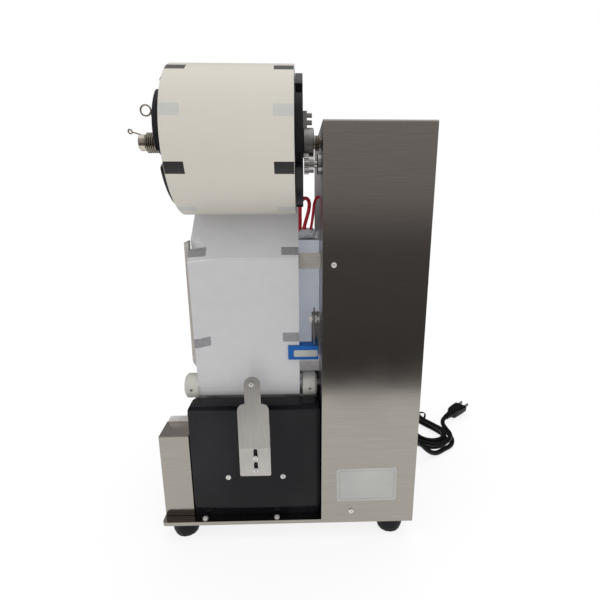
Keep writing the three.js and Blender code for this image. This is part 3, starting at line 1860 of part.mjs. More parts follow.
// Cord
const hankAxis = cord.axisDegrees * THREE.MathUtils.DEG2RAD;
const hankAlong = new THREE.Vector3(Math.cos(hankAxis), Math.sin(hankAxis), 0);
const hankAcross = new THREE.Vector3(Math.sin(hankAxis), -Math.cos(hankAxis), 0);
const cordHeight = cord.diameter / 2 + cord.floorGap;

// Place on the hank for a step count, with the loop's two folds and two runs
function hankPoint(step) {
  const inwardSteps = cord.inwardLoops * cord.loopSteps;
  const turnSteps = cord.loopSteps / 2;
  const outerRadius = cord.foldRadius + cord.ringGap * cord.inwardLoops;
  const outward = Math.max(step - inwardSteps - turnSteps, 0) / cord.loopSteps;
  const inward = Math.min(step, inwardSteps) / cord.loopSteps;
  const radius = outerRadius - cord.ringGap * inward + cord.ringGap * outward;
  const eighth = cord.loopSteps / 8;
  const climb = THREE.MathUtils.smoothstep(step, inwardSteps + eighth, inwardSteps + 3 * eighth);
  const height = cordHeight + cord.layerRise * climb;
  const place = (((step % cord.loopSteps) + cord.loopSteps) % cord.loopSteps) / eighth;
  const [along, across] = loopPlace(place, radius);
  return new THREE.Vector3(cord.frontFoldX, cord.frontFoldY, height)
    .addScaledVector(hankAlong, along)
    .addScaledVector(hankAcross, across);
}

// One loop in eight equal shares: half fold, two for a run, two for a fold, two for a run, half fold
function loopPlace(place, radius) {
  const quarter = Math.PI / 2;
  if (place <= 1) return foldPlace(0, radius, (place - 1) * quarter);
  if (place < 3) return runPlace((place - 1) / 2, radius, 1);
  if (place <= 5) return foldPlace(cord.run, radius, (place - 3) * quarter);
  if (place < 7) return runPlace(1 - (place - 5) / 2, radius, -1);
  return foldPlace(0, radius, (place - 5) * quarter);
}

function foldPlace(centre, radius, angle) {
  return [centre + radius * Math.sin(angle), radius * Math.cos(angle)];
}

function runPlace(share, radius, side) {
  const drawnIn = cord.waist * Math.sin(Math.PI * share) ** 2;
  return [cord.run * share, side * (radius - drawnIn)];
}

// Steps walked from the middle of the front fold to the start of the right run, three loops on
const hankSteps = cord.loopSteps * 3 + cord.loopSteps / 8;

function hankPoints() {
  const points = [];
  for (let i = 0; i <= hankSteps; i += 1) points.push(hankPoint(i));
  return withStraightEnds(points, cord.diameter);
}

function cordHank() {
  const points = hankPoints();
  printLeastGap("cord_hank", points, cord.diameter);
  return tubeThrough(points, cord.diameter / 2, cord.sides);
}

function tubeAlong(curve, radius, steps) {
  const section = new THREE.Shape();
  section.absarc(0, 0, radius, 0, 2 * Math.PI);
  const geometry = new THREE.ExtrudeGeometry(section, {
    steps,
    curveSegments: facets.curl,
    bevelEnabled: false,
    extrudePath: curve,
  });
  return solidOf(geometry);
}

// Tail from the gland down to the table and into the hank, straight at both ends
function cordTail() {
  const start = tower.width + touchGap + gland.flangeThickness + gland.reliefLength + touchGap;
  const [first, second] = hankPoints();
  const heading = second.clone().sub(first).normalize();
  const end = first.clone().addScaledVector(heading, -touchGap);
  const route = new THREE.CubicBezierCurve3(
    new THREE.Vector3(start, gland.centreY, gland.centreZ),
    new THREE.Vector3(start + cord.exitReach, gland.centreY, gland.centreZ),
    end.clone().addScaledVector(heading, -cord.landingReach),
    end,
  );
  return tubeAlong(route, cord.diameter / 2, cord.tailSteps);
}

// Lead from the hank to the plug: an arc to the right, then straight for half a diameter
function leadLine() {
  const points = hankPoints();
  const last = points.at(-1);
  const heading = last.clone().sub(points.at(-2)).normalize();
  const from = Math.atan2(heading.y, heading.x);
  const sweep = from - plug.axisDegrees * THREE.MathUtils.DEG2RAD;
  const start = last.clone().addScaledVector(heading, touchGap);
  const centre = start.clone().add(
    new THREE.Vector3(Math.sin(from), -Math.cos(from), 0).multiplyScalar(plug.leadRadius),
  );
  const line = [];
  for (let i = 0; i <= 2 * arcSteps; i += 1) {
    const angle = from - (sweep * i) / (2 * arcSteps);
    line.push(
      new THREE.Vector3(
        centre.x - plug.leadRadius * Math.sin(angle),
        centre.y + plug.leadRadius * Math.cos(angle),
        start.z,
      ),
    );
  }
  return line;
}

function cordLead() {
  return tubeAlong(new THREE.CatmullRomCurve3(leadLine()), cord.diameter / 2, 2 * arcSteps);
}

function cordGland() {
  const inner = tower.width - tower.sheet - touchGap;
  const outer = tower.width + touchGap;
  const profile = [
    [0, inner - gland.nutThickness],
    [gland.flangeRadius, inner - gland.nutThickness],
    [gland.flangeRadius, inner],
    [gland.neckRadius, inner],
    [gland.neckRadius, outer],
    [gland.flangeRadius, outer],
    [gland.flangeRadius, outer + gland.flangeThickness],
    [gland.reliefRadius, outer + gland.flangeThickness],
    [gland.reliefTip, outer + gland.flangeThickness + gland.reliefLength],
    [0, outer + gland.flangeThickness + gland.reliefLength],
  ];
  return turn("x", profile, glandCentre(), facets.small);
}

// Plug: tapered relief, flat body that widens to the face, two blades; it points along its own x axis
function powerPlug() {
  const relief = turn(
    "x",
    [
      [0, 0],
      [plug.reliefTip, 0],
      [plug.neckHalf, plug.reliefLength + edgeRound],
      [0, plug.reliefLength + edgeRound],
    ],
    [0, 0, 0],
    facets.small,
  );
  const faceX = plug.reliefLength + plug.bodyLength;
  const sides = new THREE.Shape();
  sides.moveTo(plug.reliefLength, -plug.neckHalf);
  sides.quadraticCurveTo(plug.reliefLength + plug.bodyLength / 2, -plug.faceHalf, faceX, -plug.faceHalf);
  sides.lineTo(faceX, plug.faceHalf);
  sides.quadraticCurveTo(
    plug.reliefLength + plug.bodyLength / 2,
    plug.faceHalf,
    plug.reliefLength,
    plug.neckHalf,
  );
  const half = plug.thickness / 2;
  const body = push("z", sides, -half, half);
  const blades = [-1, 1].map((side) => {
    const y = (side * plug.bladeSpacing) / 2;
    return block(
      [faceX - edgeRound, faceX + plug.bladeLength],
      [y - plug.bladeThickness / 2, y + plug.bladeThickness / 2],
      [-plug.bladeWidth / 2, plug.bladeWidth / 2],
    );
  });
  return join(relief, body, ...blades);
}

// Assembly
const machine = new THREE.Group();

function addPiece(name, solid, material, group = machine) {
  const { vertProperties, triVerts } = solid.getMesh();
  const geometry = new THREE.BufferGeometry();
  geometry.setAttribute("position", new THREE.BufferAttribute(vertProperties, 3));
  geometry.setIndex(new THREE.BufferAttribute(triVerts, 1));
  const flat = geometry.toNonIndexed();
  flat.computeVertexNormals();
  const mesh = new THREE.Mesh(flat, material);
  mesh.name = name;
  group.add(mesh);
  return mesh;
}

const trayRight = tower.width - tower.sheet - touchGap;
const footPlaces = {
  foot_left_rear: [trayLeft + foot.insetX, foot.insetY],
  foot_right_rear: [trayRight - foot.insetX, foot.insetY],
  foot_left_front: [trayLeft + foot.insetX, tower.depth - foot.insetY],
  foot_right_front: [trayRight - foot.insetX, tower.depth - foot.insetY],
};
addPiece("base_tray", baseTray(), stainless);
for (const [name, place] of Object.entries(footPlaces)) addPiece(name, rubberFoot(...place), rubber);
addPiece("mechanism_plate", mechanismPlate(), stainless);
addPiece("tower_cover", towerCover(), stainless);
addPiece("control_panel", controlPanel(), stainless);
addPiece("temperature_controller", temperatureController(), blackMatte);
addPiece("rear_cover", rearHood(), blackGloss);
addPiece("rail_box", leftRailBox(), stainless);
addPiece("film_finger", filmFinger(), zincSteel);
addPiece("finger_plate", fingerPlate(), zincSteel);
addPiece("guide_plate", guidePlate(), stainless);
addPiece("sensor_body", sensorBody(), bluePlastic);
addPiece("sensor_arm", sensorArm(), steel);
addPiece("film_web", filmWeb(), filmPlastic);

addPiece("supply_shaft", supplySpindle(), steel);
addPiece("film_roll", filmRoll(), filmPlastic);
addPiece("outer_flange", outerFlange(), blackMatte);
addPiece("inner_flange", innerFlange(), blackMatte);
addPiece("brake_collar", brakeCollar(), steel);
addPiece("brake_spring", collarSpring(), springSteel);
addPiece("lock_spring", lockingSpring(), springSteel);
addPiece("supply_bearing", supplyBearing(), steel);
addPiece("thumb_wheel", knurledWheel(), steel);
addPiece("thumb_wheel_bush", thumbWheelBush(), steel);

const collarOuterLeft = rollerLeft - roller.collarWidth;
const collarOuterRight = rollerRight + roller.collarWidth;
addPiece("rear_roller", filmRoller(roller.rearY, collarOuterLeft), aluminium);
addPiece("roller_collar_left", rollerCollar(rollerLeft - touchGap, collarOuterLeft), whitePlastic);
addPiece("roller_collar_right", rollerCollar(rollerRight + touchGap, collarOuterRight), whitePlastic);
addPiece("front_roller", filmRoller(frontRollerY, rollerLeft), aluminium);
addPiece("takeup_reel", takeupReel(), blackMatte);
addPiece("waste_roll", wasteRoll(), filmPlastic);
addPiece("takeup_motor", takeupMotor(), steel);

addPiece("head_top_plate", headTopPlate(), plateGrey);
addPiece("head_lower_plate", headLowerPlate(), aluminium);
addPiece("head_rear_plate", headRearPlate(), plateGrey);
for (const [end, y] of Object.entries(postYs)) {
  const name = `return_spring_${end}`;
  addPiece(`guide_post_${end}`, guidePost(y), steel);
  addPiece(name, returnSpring(name, y), springSteel);
}
addPiece("carriage_plate", carriagePlate(), plateGrey);
addPiece("heater_block", heaterBlock(), aluminium);
addPiece("lift_pinion", liftPinion(), steel);
addPiece("lift_motor", liftMotor(), blackMatte);
addPiece("terminal_block", terminalBlock(), whitePlastic);
addPiece("heater_lead", redLead(), redRubber);

addPiece("drawer_shell", drawerShell(), stainless);
addPiece("drawer_front", drawerFront(), stainless);
addPiece("cup_ring", cupRing(), aluminium);
addPiece("drawer_handle", drawerHandle(), steel);

addPiece("start_button", pushButton(panel.startZ), greenCap);
addPiece("feed_button", pushButton(panel.feedZ), blackMatte);
addPiece("power_rocker", rocker(), redRubber);
addPiece("control_board", controlBoard(), greenBoard);

// Origin under the middle of the machine itself, measured without its free cord
addPiece("cord_gland", cordGland(), rubber);
machine.updateMatrixWorld(true);
const extent = new THREE.Box3().setFromObject(machine);
const middle = extent.getCenter(new THREE.Vector3());
addPiece("cord_tail", cordTail(), rubber);
addPiece("cord_hank", cordHank(), rubber);
addPiece("cord_lead", cordLead(), rubber);
const plugMesh = addPiece("power_plug", powerPlug(), rubber);
const leadEnd = leadLine().at(-1);
const plugHeading = plug.axisDegrees * THREE.MathUtils.DEG2RAD;
plugMesh.rotation.z = plugHeading;
plugMesh.position.set(
  leadEnd.x + touchGap * Math.cos(plugHeading),
  leadEnd.y + touchGap * Math.sin(plugHeading),
  leadEnd.z,
);
machine.position.set(-middle.x, -middle.y, -extent.min.z);

const root = new THREE.Group();
root.add(machine);
export default root;
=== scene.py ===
# Looks of the cup sealing machine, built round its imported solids.
# Lengths are millimetres in the modelling frame of the part. at() turns them into the row frame in metres.

from math import acos, atan2, copysign, cos, degrees, exp, hypot, pi, radians, sin, sqrt

import bmesh
import bpy
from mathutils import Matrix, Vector, noise


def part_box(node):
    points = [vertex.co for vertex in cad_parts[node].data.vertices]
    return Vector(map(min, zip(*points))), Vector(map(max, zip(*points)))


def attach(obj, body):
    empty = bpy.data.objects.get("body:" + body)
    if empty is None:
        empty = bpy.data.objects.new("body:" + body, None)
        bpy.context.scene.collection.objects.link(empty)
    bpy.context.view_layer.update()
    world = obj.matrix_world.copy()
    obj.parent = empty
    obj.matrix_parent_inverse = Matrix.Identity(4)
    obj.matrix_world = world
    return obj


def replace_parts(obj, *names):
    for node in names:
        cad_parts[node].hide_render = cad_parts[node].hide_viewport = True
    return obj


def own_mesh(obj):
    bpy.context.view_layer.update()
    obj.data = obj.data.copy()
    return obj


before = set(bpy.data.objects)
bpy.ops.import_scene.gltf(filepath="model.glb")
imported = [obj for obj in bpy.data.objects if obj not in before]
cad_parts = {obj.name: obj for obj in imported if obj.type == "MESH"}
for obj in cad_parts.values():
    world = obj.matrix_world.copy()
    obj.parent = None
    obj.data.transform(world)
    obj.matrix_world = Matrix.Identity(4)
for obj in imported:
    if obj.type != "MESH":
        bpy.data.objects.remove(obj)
bpy.context.view_layer.update()

MM = 0.001
TOWER_BOTTOM = 24
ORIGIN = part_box("tower_cover")[0] / MM - Vector((0, 0, TOWER_BOTTOM))
RIGHT, NEAR, FAR, UP = (1, 0, 0), (0, -1, 0), (0, 1, 0), (0, 0, 1)

# Sizes and places repeated from the part's source
TOUCH = 0.3
TOWER_W, TOWER_D = 117.3, 296
FILM_LEFT, FILM_RIGHT, FILM_THICK = -153.3, -26.3, 0.4
ROLL_LEFT, ROLL_RIGHT, ROLL_Y, ROLL_Z, ROLL_R, ROLL_BORE = -155.6, -28.6, 50, 487.65, 78.2, 35
HUB_LEFT, FLANGE_LEFT, FLANGE_RIGHT = -178.5, -161.6, -156.4
REAR_ROLLER_Y, FRONT_ROLLER_Y, ROLLER_Z, ROLLER_R = 52, 244, 193.5, 12.5
TAKEUP_Y, TAKEUP_Z, WASTE_R = 262, 345, 24
NOSE_Y, NOSE_TOP, NOSE_R = 29.9, 360.4, 3
CUP_X, LID_R = -81.7, 47.5
POST_X, POST_YS, POST_TOP, SPRING_LOW, SPRING_HIGH = -145, (94, 194), 376, 214.3, 299.7
CORD_D = 8
MARK_PITCH, MARK_LENGTH, MARK_WIDTH = 111.5, 11.9, 20


def at(x, y, z):
    return (Vector((x, y, z)) + ORIGIN) * MM


def off_axis(x, radius, angle):
    """Place at a radius and angle round the roll's axis."""
    return x, ROLL_Y + radius * cos(angle), ROLL_Z + radius * sin(angle)


def placed(obj):
    bpy.context.scene.collection.objects.link(obj)
    return obj


# Camera, solved from the photograph
camera_data = bpy.data.cameras.new("camera")
camera_data.sensor_width = 36
camera_data.lens = 25.57
camera_data.shift_x = -0.0249
camera_data.clip_start = 0.01
camera = placed(bpy.data.objects.new("camera", camera_data))
camera.location = at(-22.07, -457.06, 437.20)
camera.rotation_euler = (radians(75.5014), 0, radians(-1.7406))
bpy.context.scene.camera = camera


# Mesh helpers
def piece(name, bm, looks, body, sharp_degrees=35):
    """Object of a finished mesh, smooth up to an edge angle, that rides a body and has a slot."""
    bmesh.ops.recalc_face_normals(bm, faces=bm.faces)
    limit = radians(sharp_degrees)
    for face in bm.faces:
        face.smooth = True
    for edge in bm.edges:
        if len(edge.link_faces) == 2 and edge.calc_face_angle(0) > limit:
            edge.smooth = False
    mesh = bpy.data.meshes.new(name)
    bm.to_mesh(mesh)
    bm.free()
    for look in looks.split():
        mesh.materials.append(LOOKS[look])
    made = placed(bpy.data.objects.new(name, mesh))
    if body:
        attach(made, body)
    return made


def apply_modifiers(obj):
    """Bakes the modifiers of an object into its mesh."""
    bpy.context.view_layer.update()
    graph = bpy.context.evaluated_depsgraph_get()
    mesh = bpy.data.meshes.new_from_object(obj.evaluated_get(graph))
    old = obj.data
    obj.modifiers.clear()
    obj.data = mesh
    bpy.data.meshes.remove(old)


def soften(obj, width):
    """Rounds the edges of a piece, so that they catch the light."""
    bevel = obj.modifiers.new("soft_edges", "BEVEL")
    bevel.width = width * MM
    bevel.segments = 2
    bevel.limit_method = "ANGLE"
    bevel.angle_limit = radians(40)
    bevel.harden_normals = True
    apply_modifiers(obj)


def around(steps):
    """Cosine and sine at even steps of a full turn."""
    angles = [2 * pi * k / steps for k in range(steps)]
    return [(cos(angle), sin(angle)) for angle in angles]


def boxed(value, power):
    """Cosine or sine, bent so that a circle turns into a rounded box."""
    return copysign(abs(value) ** power, value)


def share_of(value, low, high):
    """Share of the way from low to high, held between 0 and 1."""
    return min(max((value - low) / (high - low), 0), 1)


def smoothstep(value, low, high):
    t = share_of(value, low, high)
    return t * t * (3 - 2 * t)


def axes_for(direction):
    """Two directions across a direction, and itself."""
    d = Vector(direction).normalized()
    guess = Vector(UP) if abs(d.z) < 0.9 else Vector(RIGHT)
    u = guess.cross(d).normalized()
    return u, d.cross(u), d


def quad_rows(bm, rings):
    """Faces between rings of vertices, ring by ring."""
    faces = []
    for a, b in zip(rings, rings[1:]):
        for k in range(len(a)):
            j = (k + 1) % len(a)
            faces.append(bm.faces.new((a[k], a[j], b[j], b[k])))
    return faces


def skin_into(bm, rings, material_index=0, looped=False):
    """Skin through rings of points, capped at both ends, or looped from the last ring to the first."""
    rings = [[bm.verts.new(at(*point)) for point in ring] for ring in rings]
    faces = quad_rows(bm, rings + rings[:1] if looped else rings)
    if not looped:
        faces += [bm.faces.new(rings[0]), bm.faces.new(rings[-1])]
    for face in faces:
        face.material_index = material_index
    return faces


def lathe_into(bm, profile, centre, direction, steps=48, looped=False):
    """Turns a profile of (radius, along) round a direction through a centre."""
    u, v, d = axes_for(direction)
    base = Vector(centre)
    circle = around(steps)
    rings = [[base + (u * c * r + v * s * r + d * along) for c, s in circle] for r, along in profile]
    skin_into(bm, rings, looped=looped)


def tube_into(bm, points, radius, sides):
    """Round tube along points with flat caps. The radius may be a list with one for each point."""
    side = None
    rings = []
    last = len(points) - 1
    circle = around(sides)
    for i, point in enumerate(points):
        heading = (points[min(i + 1, last)] - points[max(i - 1, 0)]).normalized()
        side = side or axes_for(heading)[0]
        side = (side - heading * side.dot(heading)).normalized()
        up = heading.cross(side)
        r = radius[i] if isinstance(radius, list) else radius
        rings.append([point + side * (c * r) + up * (s * r) for c, s in circle])
    skin_into(bm, rings)


def rounded_outline(u0, u1, v0, v1, radius, steps=6):
    """Rectangle with rounded corners."""
    points = []
    corners = ((u1 - radius, v0 + radius, -90), (u1 - radius, v1 - radius, 0))
    corners += ((u0 + radius, v1 - radius, 90), (u0 + radius, v0 + radius, 180))
    for cu, cv, start in corners:
        for i in range(steps + 1):
            angle = radians(start + 90 * i / steps)
            points.append((cu + radius * cos(angle), cv + radius * sin(angle)))
    return points


def slab_into(bm, outline, place, low, high, bevel=0.0):
    """Slab of an outline between two heights, with its high face bevelled; place(u, v, w) gives points."""
    cu = sum(u for u, _ in outline) / len(outline)
    cv = sum(v for _, v in outline) / len(outline)
    rings = []
    for w, inset in [(low, 0)] + [(high - bevel, 0)] * bool(bevel) + [(high, bevel)]:
        ring = []
        for u, v in outline:
            length = hypot(u - cu, v - cv) or 1
            ring.append(place(u - inset * (u - cu) / length, v - inset * (v - cv) / length, w))
        rings.append(ring)
    skin_into(bm, rings)


def box_into(bm, x0, x1, y0, y1, z0, z1):
    corners = [bm.verts.new(at(x, y, z)) for x in (x0, x1) for y in (y0, y1) for z in (z0, z1)]
    for quad in ((0, 1, 3, 2), (4, 6, 7, 5), (0, 4, 5, 1), (2, 3, 7, 6), (0, 2, 6, 4), (1, 5, 7, 3)):
        bm.faces.new([corners[i] for i in quad])


def smooth_line(points, per_span):
    """Catmull-Rom line through points."""
    line = []
    last = len(points) - 1
    for i in range(last):
        p0, p1, p2, p3 = (Vector(points[min(max(j, 0), last)]) for j in (i - 1, i, i + 1, i + 2))
        for k in range(per_span):
            t = k / per_span
            spot = 2 * p1 + (p2 - p0) * t + (2 * p0 - 5 * p1 + 4 * p2 - p3) * t * t
            line.append(0.5 * (spot + (3 * p1 - p0 - 3 * p2 + p3) * t**3))
    line.append(Vector(points[last]))
    return line


# Material helpers; each material is kept by its name
LOOKS = {}


def set_inputs(node, **values):
    """Sets inputs by name, with a low line for each space."""
    for key, value in values.items():
        node.inputs[key.replace("_", " ")].default_value = value
    return node


def add_node(tree, kind, **values):
    return set_inputs(tree.nodes.new(f"ShaderNode{kind}"), **values)


def join(source, out, target, into):
    source.id_data.links.new(source.outputs[out], target.inputs[into])


def shader_of(material):
    return material.node_tree.nodes["Principled BSDF"]


def new_material(name, color, roughness, metallic=0.0, specular=0.5, glow=0.0, glow_color=(1, 1, 1)):
    material = bpy.data.materials.new(name)
    material.use_nodes = True
    shader = set_inputs(shader_of(material), Base_Color=(*color, 1), Roughness=roughness, Metallic=metallic)
    set_inputs(shader, Specular_IOR_Level=specular, Emission_Strength=glow, Emission_Color=(*glow_color, 1))
    LOOKS[name] = material
    return material


def grain(material, scale, stretch=(1, 1, 1), detail=3.0):
    """A noise in object coordinates, which are the row frame's metres."""
    tree = material.node_tree
    coords = add_node(tree, "TexCoord")
    mapping = add_node(tree, "Mapping", Scale=stretch)
    texture = add_node(tree, "TexNoise", Detail=detail, Scale=scale)
    join(coords, "Object", mapping, "Vector")
    join(mapping, "Vector", texture, "Vector")
    return texture


def vary_gloss(material, factor, low, high):
    """Drives the roughness between two values by the middle of a factor's range."""
    node = add_node(material.node_tree, "MapRange", From_Min=0.3, From_Max=0.7, To_Min=low, To_Max=high)
    join(factor, "Fac", node, "Value")
    join(node, "Result", shader_of(material), "Roughness")


def tint(material, factor, low, high, spots=(0.35, 0.65)):
    """Colours a material between two tones by a factor."""
    ramp = add_node(material.node_tree, "ValToRGB")
    first, second = ramp.color_ramp.elements
    first.position, second.position = spots
    first.color, second.color = (*low, 1), (*high, 1)
    join(factor, "Fac", ramp, "Fac")
    join(ramp, "Color", shader_of(material), "Base Color")


def relief(material, height, strength, distance):
    """Adds a bump over any bump that is there."""
    shader = shader_of(material)
    under = shader.inputs["Normal"].links
    bump = add_node(material.node_tree, "Bump", Strength=strength, Distance=distance * MM)
    join(height, "Fac", bump, "Height")
    if under:
        join(under[0].from_node, "Normal", bump, "Normal")
    join(bump, "Normal", shader, "Normal")


def scaled(color, factor):
    return tuple(channel * factor for channel in color)


def brushed(name, color, roughness, stretch, lines=900, metallic=1.0):
    """Brushed steel: fine lines along the direction with the small stretch."""
    made = new_material(name, color, roughness, metallic)
    fine = grain(made, lines, stretch, 2)
    tint(made, fine, scaled(color, 0.93), scaled(color, 1.06))
    vary_gloss(made, grain(made, 14), roughness * 0.85, roughness * 1.25)
    relief(made, fine, 0.05, 0.02)


def moulded(name, color, roughness, bump, texture, wear, *shine):
    """Plastic, rubber or paint with a fine texture, faint clouds and worn gloss."""
    made = new_material(name, color, roughness, 0.0, *shine)
    cloud = grain(made, 22, detail=5)
    tint(made, cloud, scaled(color, 0.9), scaled(color, wear))
    vary_gloss(made, cloud, roughness * 0.85, min(roughness * 1.2, 1))
    relief(made, grain(made, texture), bump, 0.05)


def turned(name, color, roughness, metallic=1.0, *shine):
    """Turned or plated metal with fine scratches and faint stains."""
    made = new_material(name, color, roughness, metallic, *shine)
    scratch = grain(made, 500, (1, 6, 6), 2)
    tint(made, grain(made, 60, detail=4), scaled(color, 0.8), scaled(color, 1.08))
    vary_gloss(made, scratch, roughness * 0.7, roughness * 1.4)
    relief(made, scratch, 0.08, 0.02)


def printed(name, color, roughness=0.4, mottle=0.3):
    """Print on the film, mottled where the ink is thin; the same finish makes the painted highlight along
    the crease.
    """
    made = new_material(name, color, roughness)
    tint(made, grain(made, 900, detail=2), scaled(color, 1 - mottle), scaled(color, 1 + mottle), (0.2, 0.8))
    relief(made, grain(made, 420), 0.1, 0.05)


# Sheet metal: colour, roughness, stretch and number of its lines, metallic
brushed("tower_steel", (0.36, 0.335, 0.3), 0.16, (0.012, 1, 1), 2400)
brushed("plate_steel", (0.53, 0.495, 0.45), 0.5, (0.05, 1, 1), metallic=0.35)
brushed("wall_steel", (0.26, 0.255, 0.265), 0.28, (1, 0.05, 1))
brushed("collar_metal", (0.5, 0.49, 0.48), 0.42, (1, 0.1, 0.1))
brushed("zinc", (0.42, 0.405, 0.38), 0.36, (1, 1, 0.03), 1500)
brushed("zinc_plate", (0.56, 0.545, 0.51), 0.45, (1, 1, 0.03), 1500)

# Turned and plated metal: colour, roughness, metallic, specular, glow and its colour
turned("steel", (0.56, 0.55, 0.53), 0.24)
turned("spring_steel", (0.48, 0.43, 0.36), 0.22)
turned("nickel", (0.62, 0.56, 0.47), 0.2)
turned("blade_metal", (0.2, 0.185, 0.16), 0.3)
turned("screw_metal", (0.85, 0.83, 0.8), 0.35, 0.6)
# Painted light: the pale plate finish glows faintly, which lifts the head's lower plate and the rail box's
# upstand out of their shade.
turned("pale_plate_painted_glow", (0.8, 0.78, 0.77), 0.35, 0.3, 0.5, 0.11, (1, 0.96, 0.94))
turned("aluminium", (0.66, 0.665, 0.68), 0.34)

# Paint, plastic, rubber and paper: colour, roughness, bump, texture, wear, specular, glow and its colour
moulded("plate_grey", (0.6, 0.62, 0.66), 0.42, 0.1, 500, 1.05)
# Painted light: the rear plate glows faintly, which lifts it out of the shade between the web and the
# tower.
moulded("rear_plate_painted_glow", (0.72, 0.76, 0.86), 0.42, 0.1, 500, 1.05, 0.5, 0.14, (0.85, 0.9, 1))
moulded("reel_black", (0.004, 0.004, 0.0055), 0.28, 0.1, 300, 1.8, 0.35)
moulded("black_matte", (0.013, 0.013, 0.015), 0.42, 0.2, 900, 1.25)
moulded("motor_black", (0.02, 0.02, 0.022), 0.35, 0.1, 400, 1.25)
moulded("rubber", (0.006, 0.006, 0.0072), 0.55, 0.35, 900, 1.7, 0.2)
moulded("cord_rubber", (0.0025, 0.0025, 0.003), 0.4, 0.2, 500, 1.8, 0.22)
moulded("white_plastic", (0.52, 0.505, 0.46), 0.38, 0.15, 300, 1.05)
moulded("blue_plastic", (0.002, 0.1, 0.38), 0.5, 0.1, 500, 1.15, 0.25)
moulded("red_rubber", (0.72, 0.012, 0.034), 0.3, 0.1, 600, 1.15)
moulded("green_plastic", (0.02, 0.26, 0.05), 0.2, 0.05, 400, 1.1)
moulded("board_green", (0.015, 0.11, 0.035), 0.4, 0.2, 400, 1.2)
moulded("paper_label", (0.43, 0.43, 0.41), 0.55, 0.08, 900, 1.04)
moulded("label_line", (0.3, 0.3, 0.29), 0.5, 0.08, 900, 1.04)
moulded("insulation", (0.8, 0.81, 0.84), 0.6, 0.8, 260, 1.25)
moulded("core_paper", (0.36, 0.25, 0.15), 0.8, 0.3, 500, 1.2)
moulded("display_dark", (0.006, 0.004, 0.005), 0.08, 0.03, 400, 1.2)
moulded("unlit_segment", (0.055, 0.03, 0.03), 0.2, 0.03, 400, 1.2)
moulded("key_grey", (0.12, 0.12, 0.125), 0.45, 0.2, 900, 1.1)


def black_gloss():
    """Black gloss of the rear cover, with smears and a faint wave."""
    made = new_material("black_gloss", (0.0025, 0.0025, 0.004), 0.12, 0.0, 0.21)
    vary_gloss(made, grain(made, 9, (1, 1, 0.5), 4), 0.08, 0.24)
    smears = grain(made, 12, (1, 1, 0.6), 5)
    tint(made, smears, (0.003, 0.003, 0.0045), (0.012, 0.012, 0.014), (0.5, 0.75))
    relief(made, grain(made, 5), 0.25, 0.8)


def film_looks():
    """The roll's wound skin and sides, the running web with its painted glow, the painted highlight on the
    web's crease, and the print on them.
    """
    made = new_material("film_roll_skin", (0.56, 0.53, 0.47), 0.42, 0.0, 0.35)
    tint(made, grain(made, 5, (2.5, 0.2, 0.2), 3), (0.545, 0.516, 0.457), (0.575, 0.544, 0.483))
    relief(made, grain(made, 9, (0.4, 1, 1)), 0.1, 0.6)
    made = new_material("film_side", (0.55, 0.52, 0.46), 0.5)
    windings = grain(made, 300, (0.01, 1, 1))
    tint(made, windings, (0.48, 0.45, 0.4), (0.6, 0.565, 0.5))
    relief(made, windings, 0.3, 0.2)
    # Painted light: the film glows faintly, which lifts the web's shaded parts and its bend under the
    # roller.
    made = new_material("film_skin", (0.354, 0.352, 0.358), 0.27, 0.0, 0.6, 0.15, (1, 0.99, 1))
    tint(made, grain(made, 60, detail=6), (0.345, 0.343, 0.35), (0.362, 0.36, 0.366))
    relief(made, grain(made, 14, detail=1), 0.1, 0.6)
    relief(made, grain(made, 420), 0.12, 0.05)
    # Painted highlight: a pale strip along the crease stands in for the light that the bend catches.
    printed("film_crease", (0.72, 0.72, 0.72), 0.3, 0.08)
    printed("mark_black", (0.022, 0.02, 0.02))
    printed("mark_faint", (0.46, 0.46, 0.44), 0.45, 0.1)
    printed("mark_grey", (0.235, 0.235, 0.245))


black_gloss()
film_looks()

# CAD nodes get their finish, and an edge-angle smoothing that leaves their points in place
finish_of = {
    "tower_steel": "base_tray tower_cover control_panel drawer_front",
    "wall_steel": "mechanism_plate drawer_shell",
    "plate_steel": "guide_plate",
    "plate_grey": "head_top_plate carriage_plate",
    # The head's rear plate takes the finish with the painted glow.
    "rear_plate_painted_glow": "head_rear_plate",
    "black_gloss": "rear_cover",
    "reel_black": "outer_flange inner_flange takeup_reel",
    "black_matte": "temperature_controller feed_button",
    "motor_black": "takeup_motor lift_motor",
    "rubber": "foot_left_rear foot_right_rear foot_left_front foot_right_front cord_gland",
    "cord_rubber": "cord_tail cord_hank cord_lead power_plug",
    "collar_metal": "brake_collar",
    "steel": "thumb_wheel thumb_wheel_bush supply_bearing sensor_arm "
    "guide_post_rear guide_post_front lift_pinion drawer_handle",
    "nickel": "supply_shaft",
    "spring_steel": "brake_spring lock_spring return_spring_rear return_spring_front",
    "aluminium": "rear_roller front_roller heater_block cup_ring",
    # The head's lower plate takes the pale finish with its painted glow.
    "pale_plate_painted_glow": "head_lower_plate",
    "zinc": "film_finger",
    "zinc_plate": "finger_plate",
    # The film's finish carries its painted glow.
    "film_skin": "film_roll film_web waste_roll",
    "white_plastic": "roller_collar_left roller_collar_right terminal_block",
    "blue_plastic": "sensor_body",
    "red_rubber": "heater_lead power_rocker",
    "green_plastic": "start_button",
    "board_green": "control_board",
}


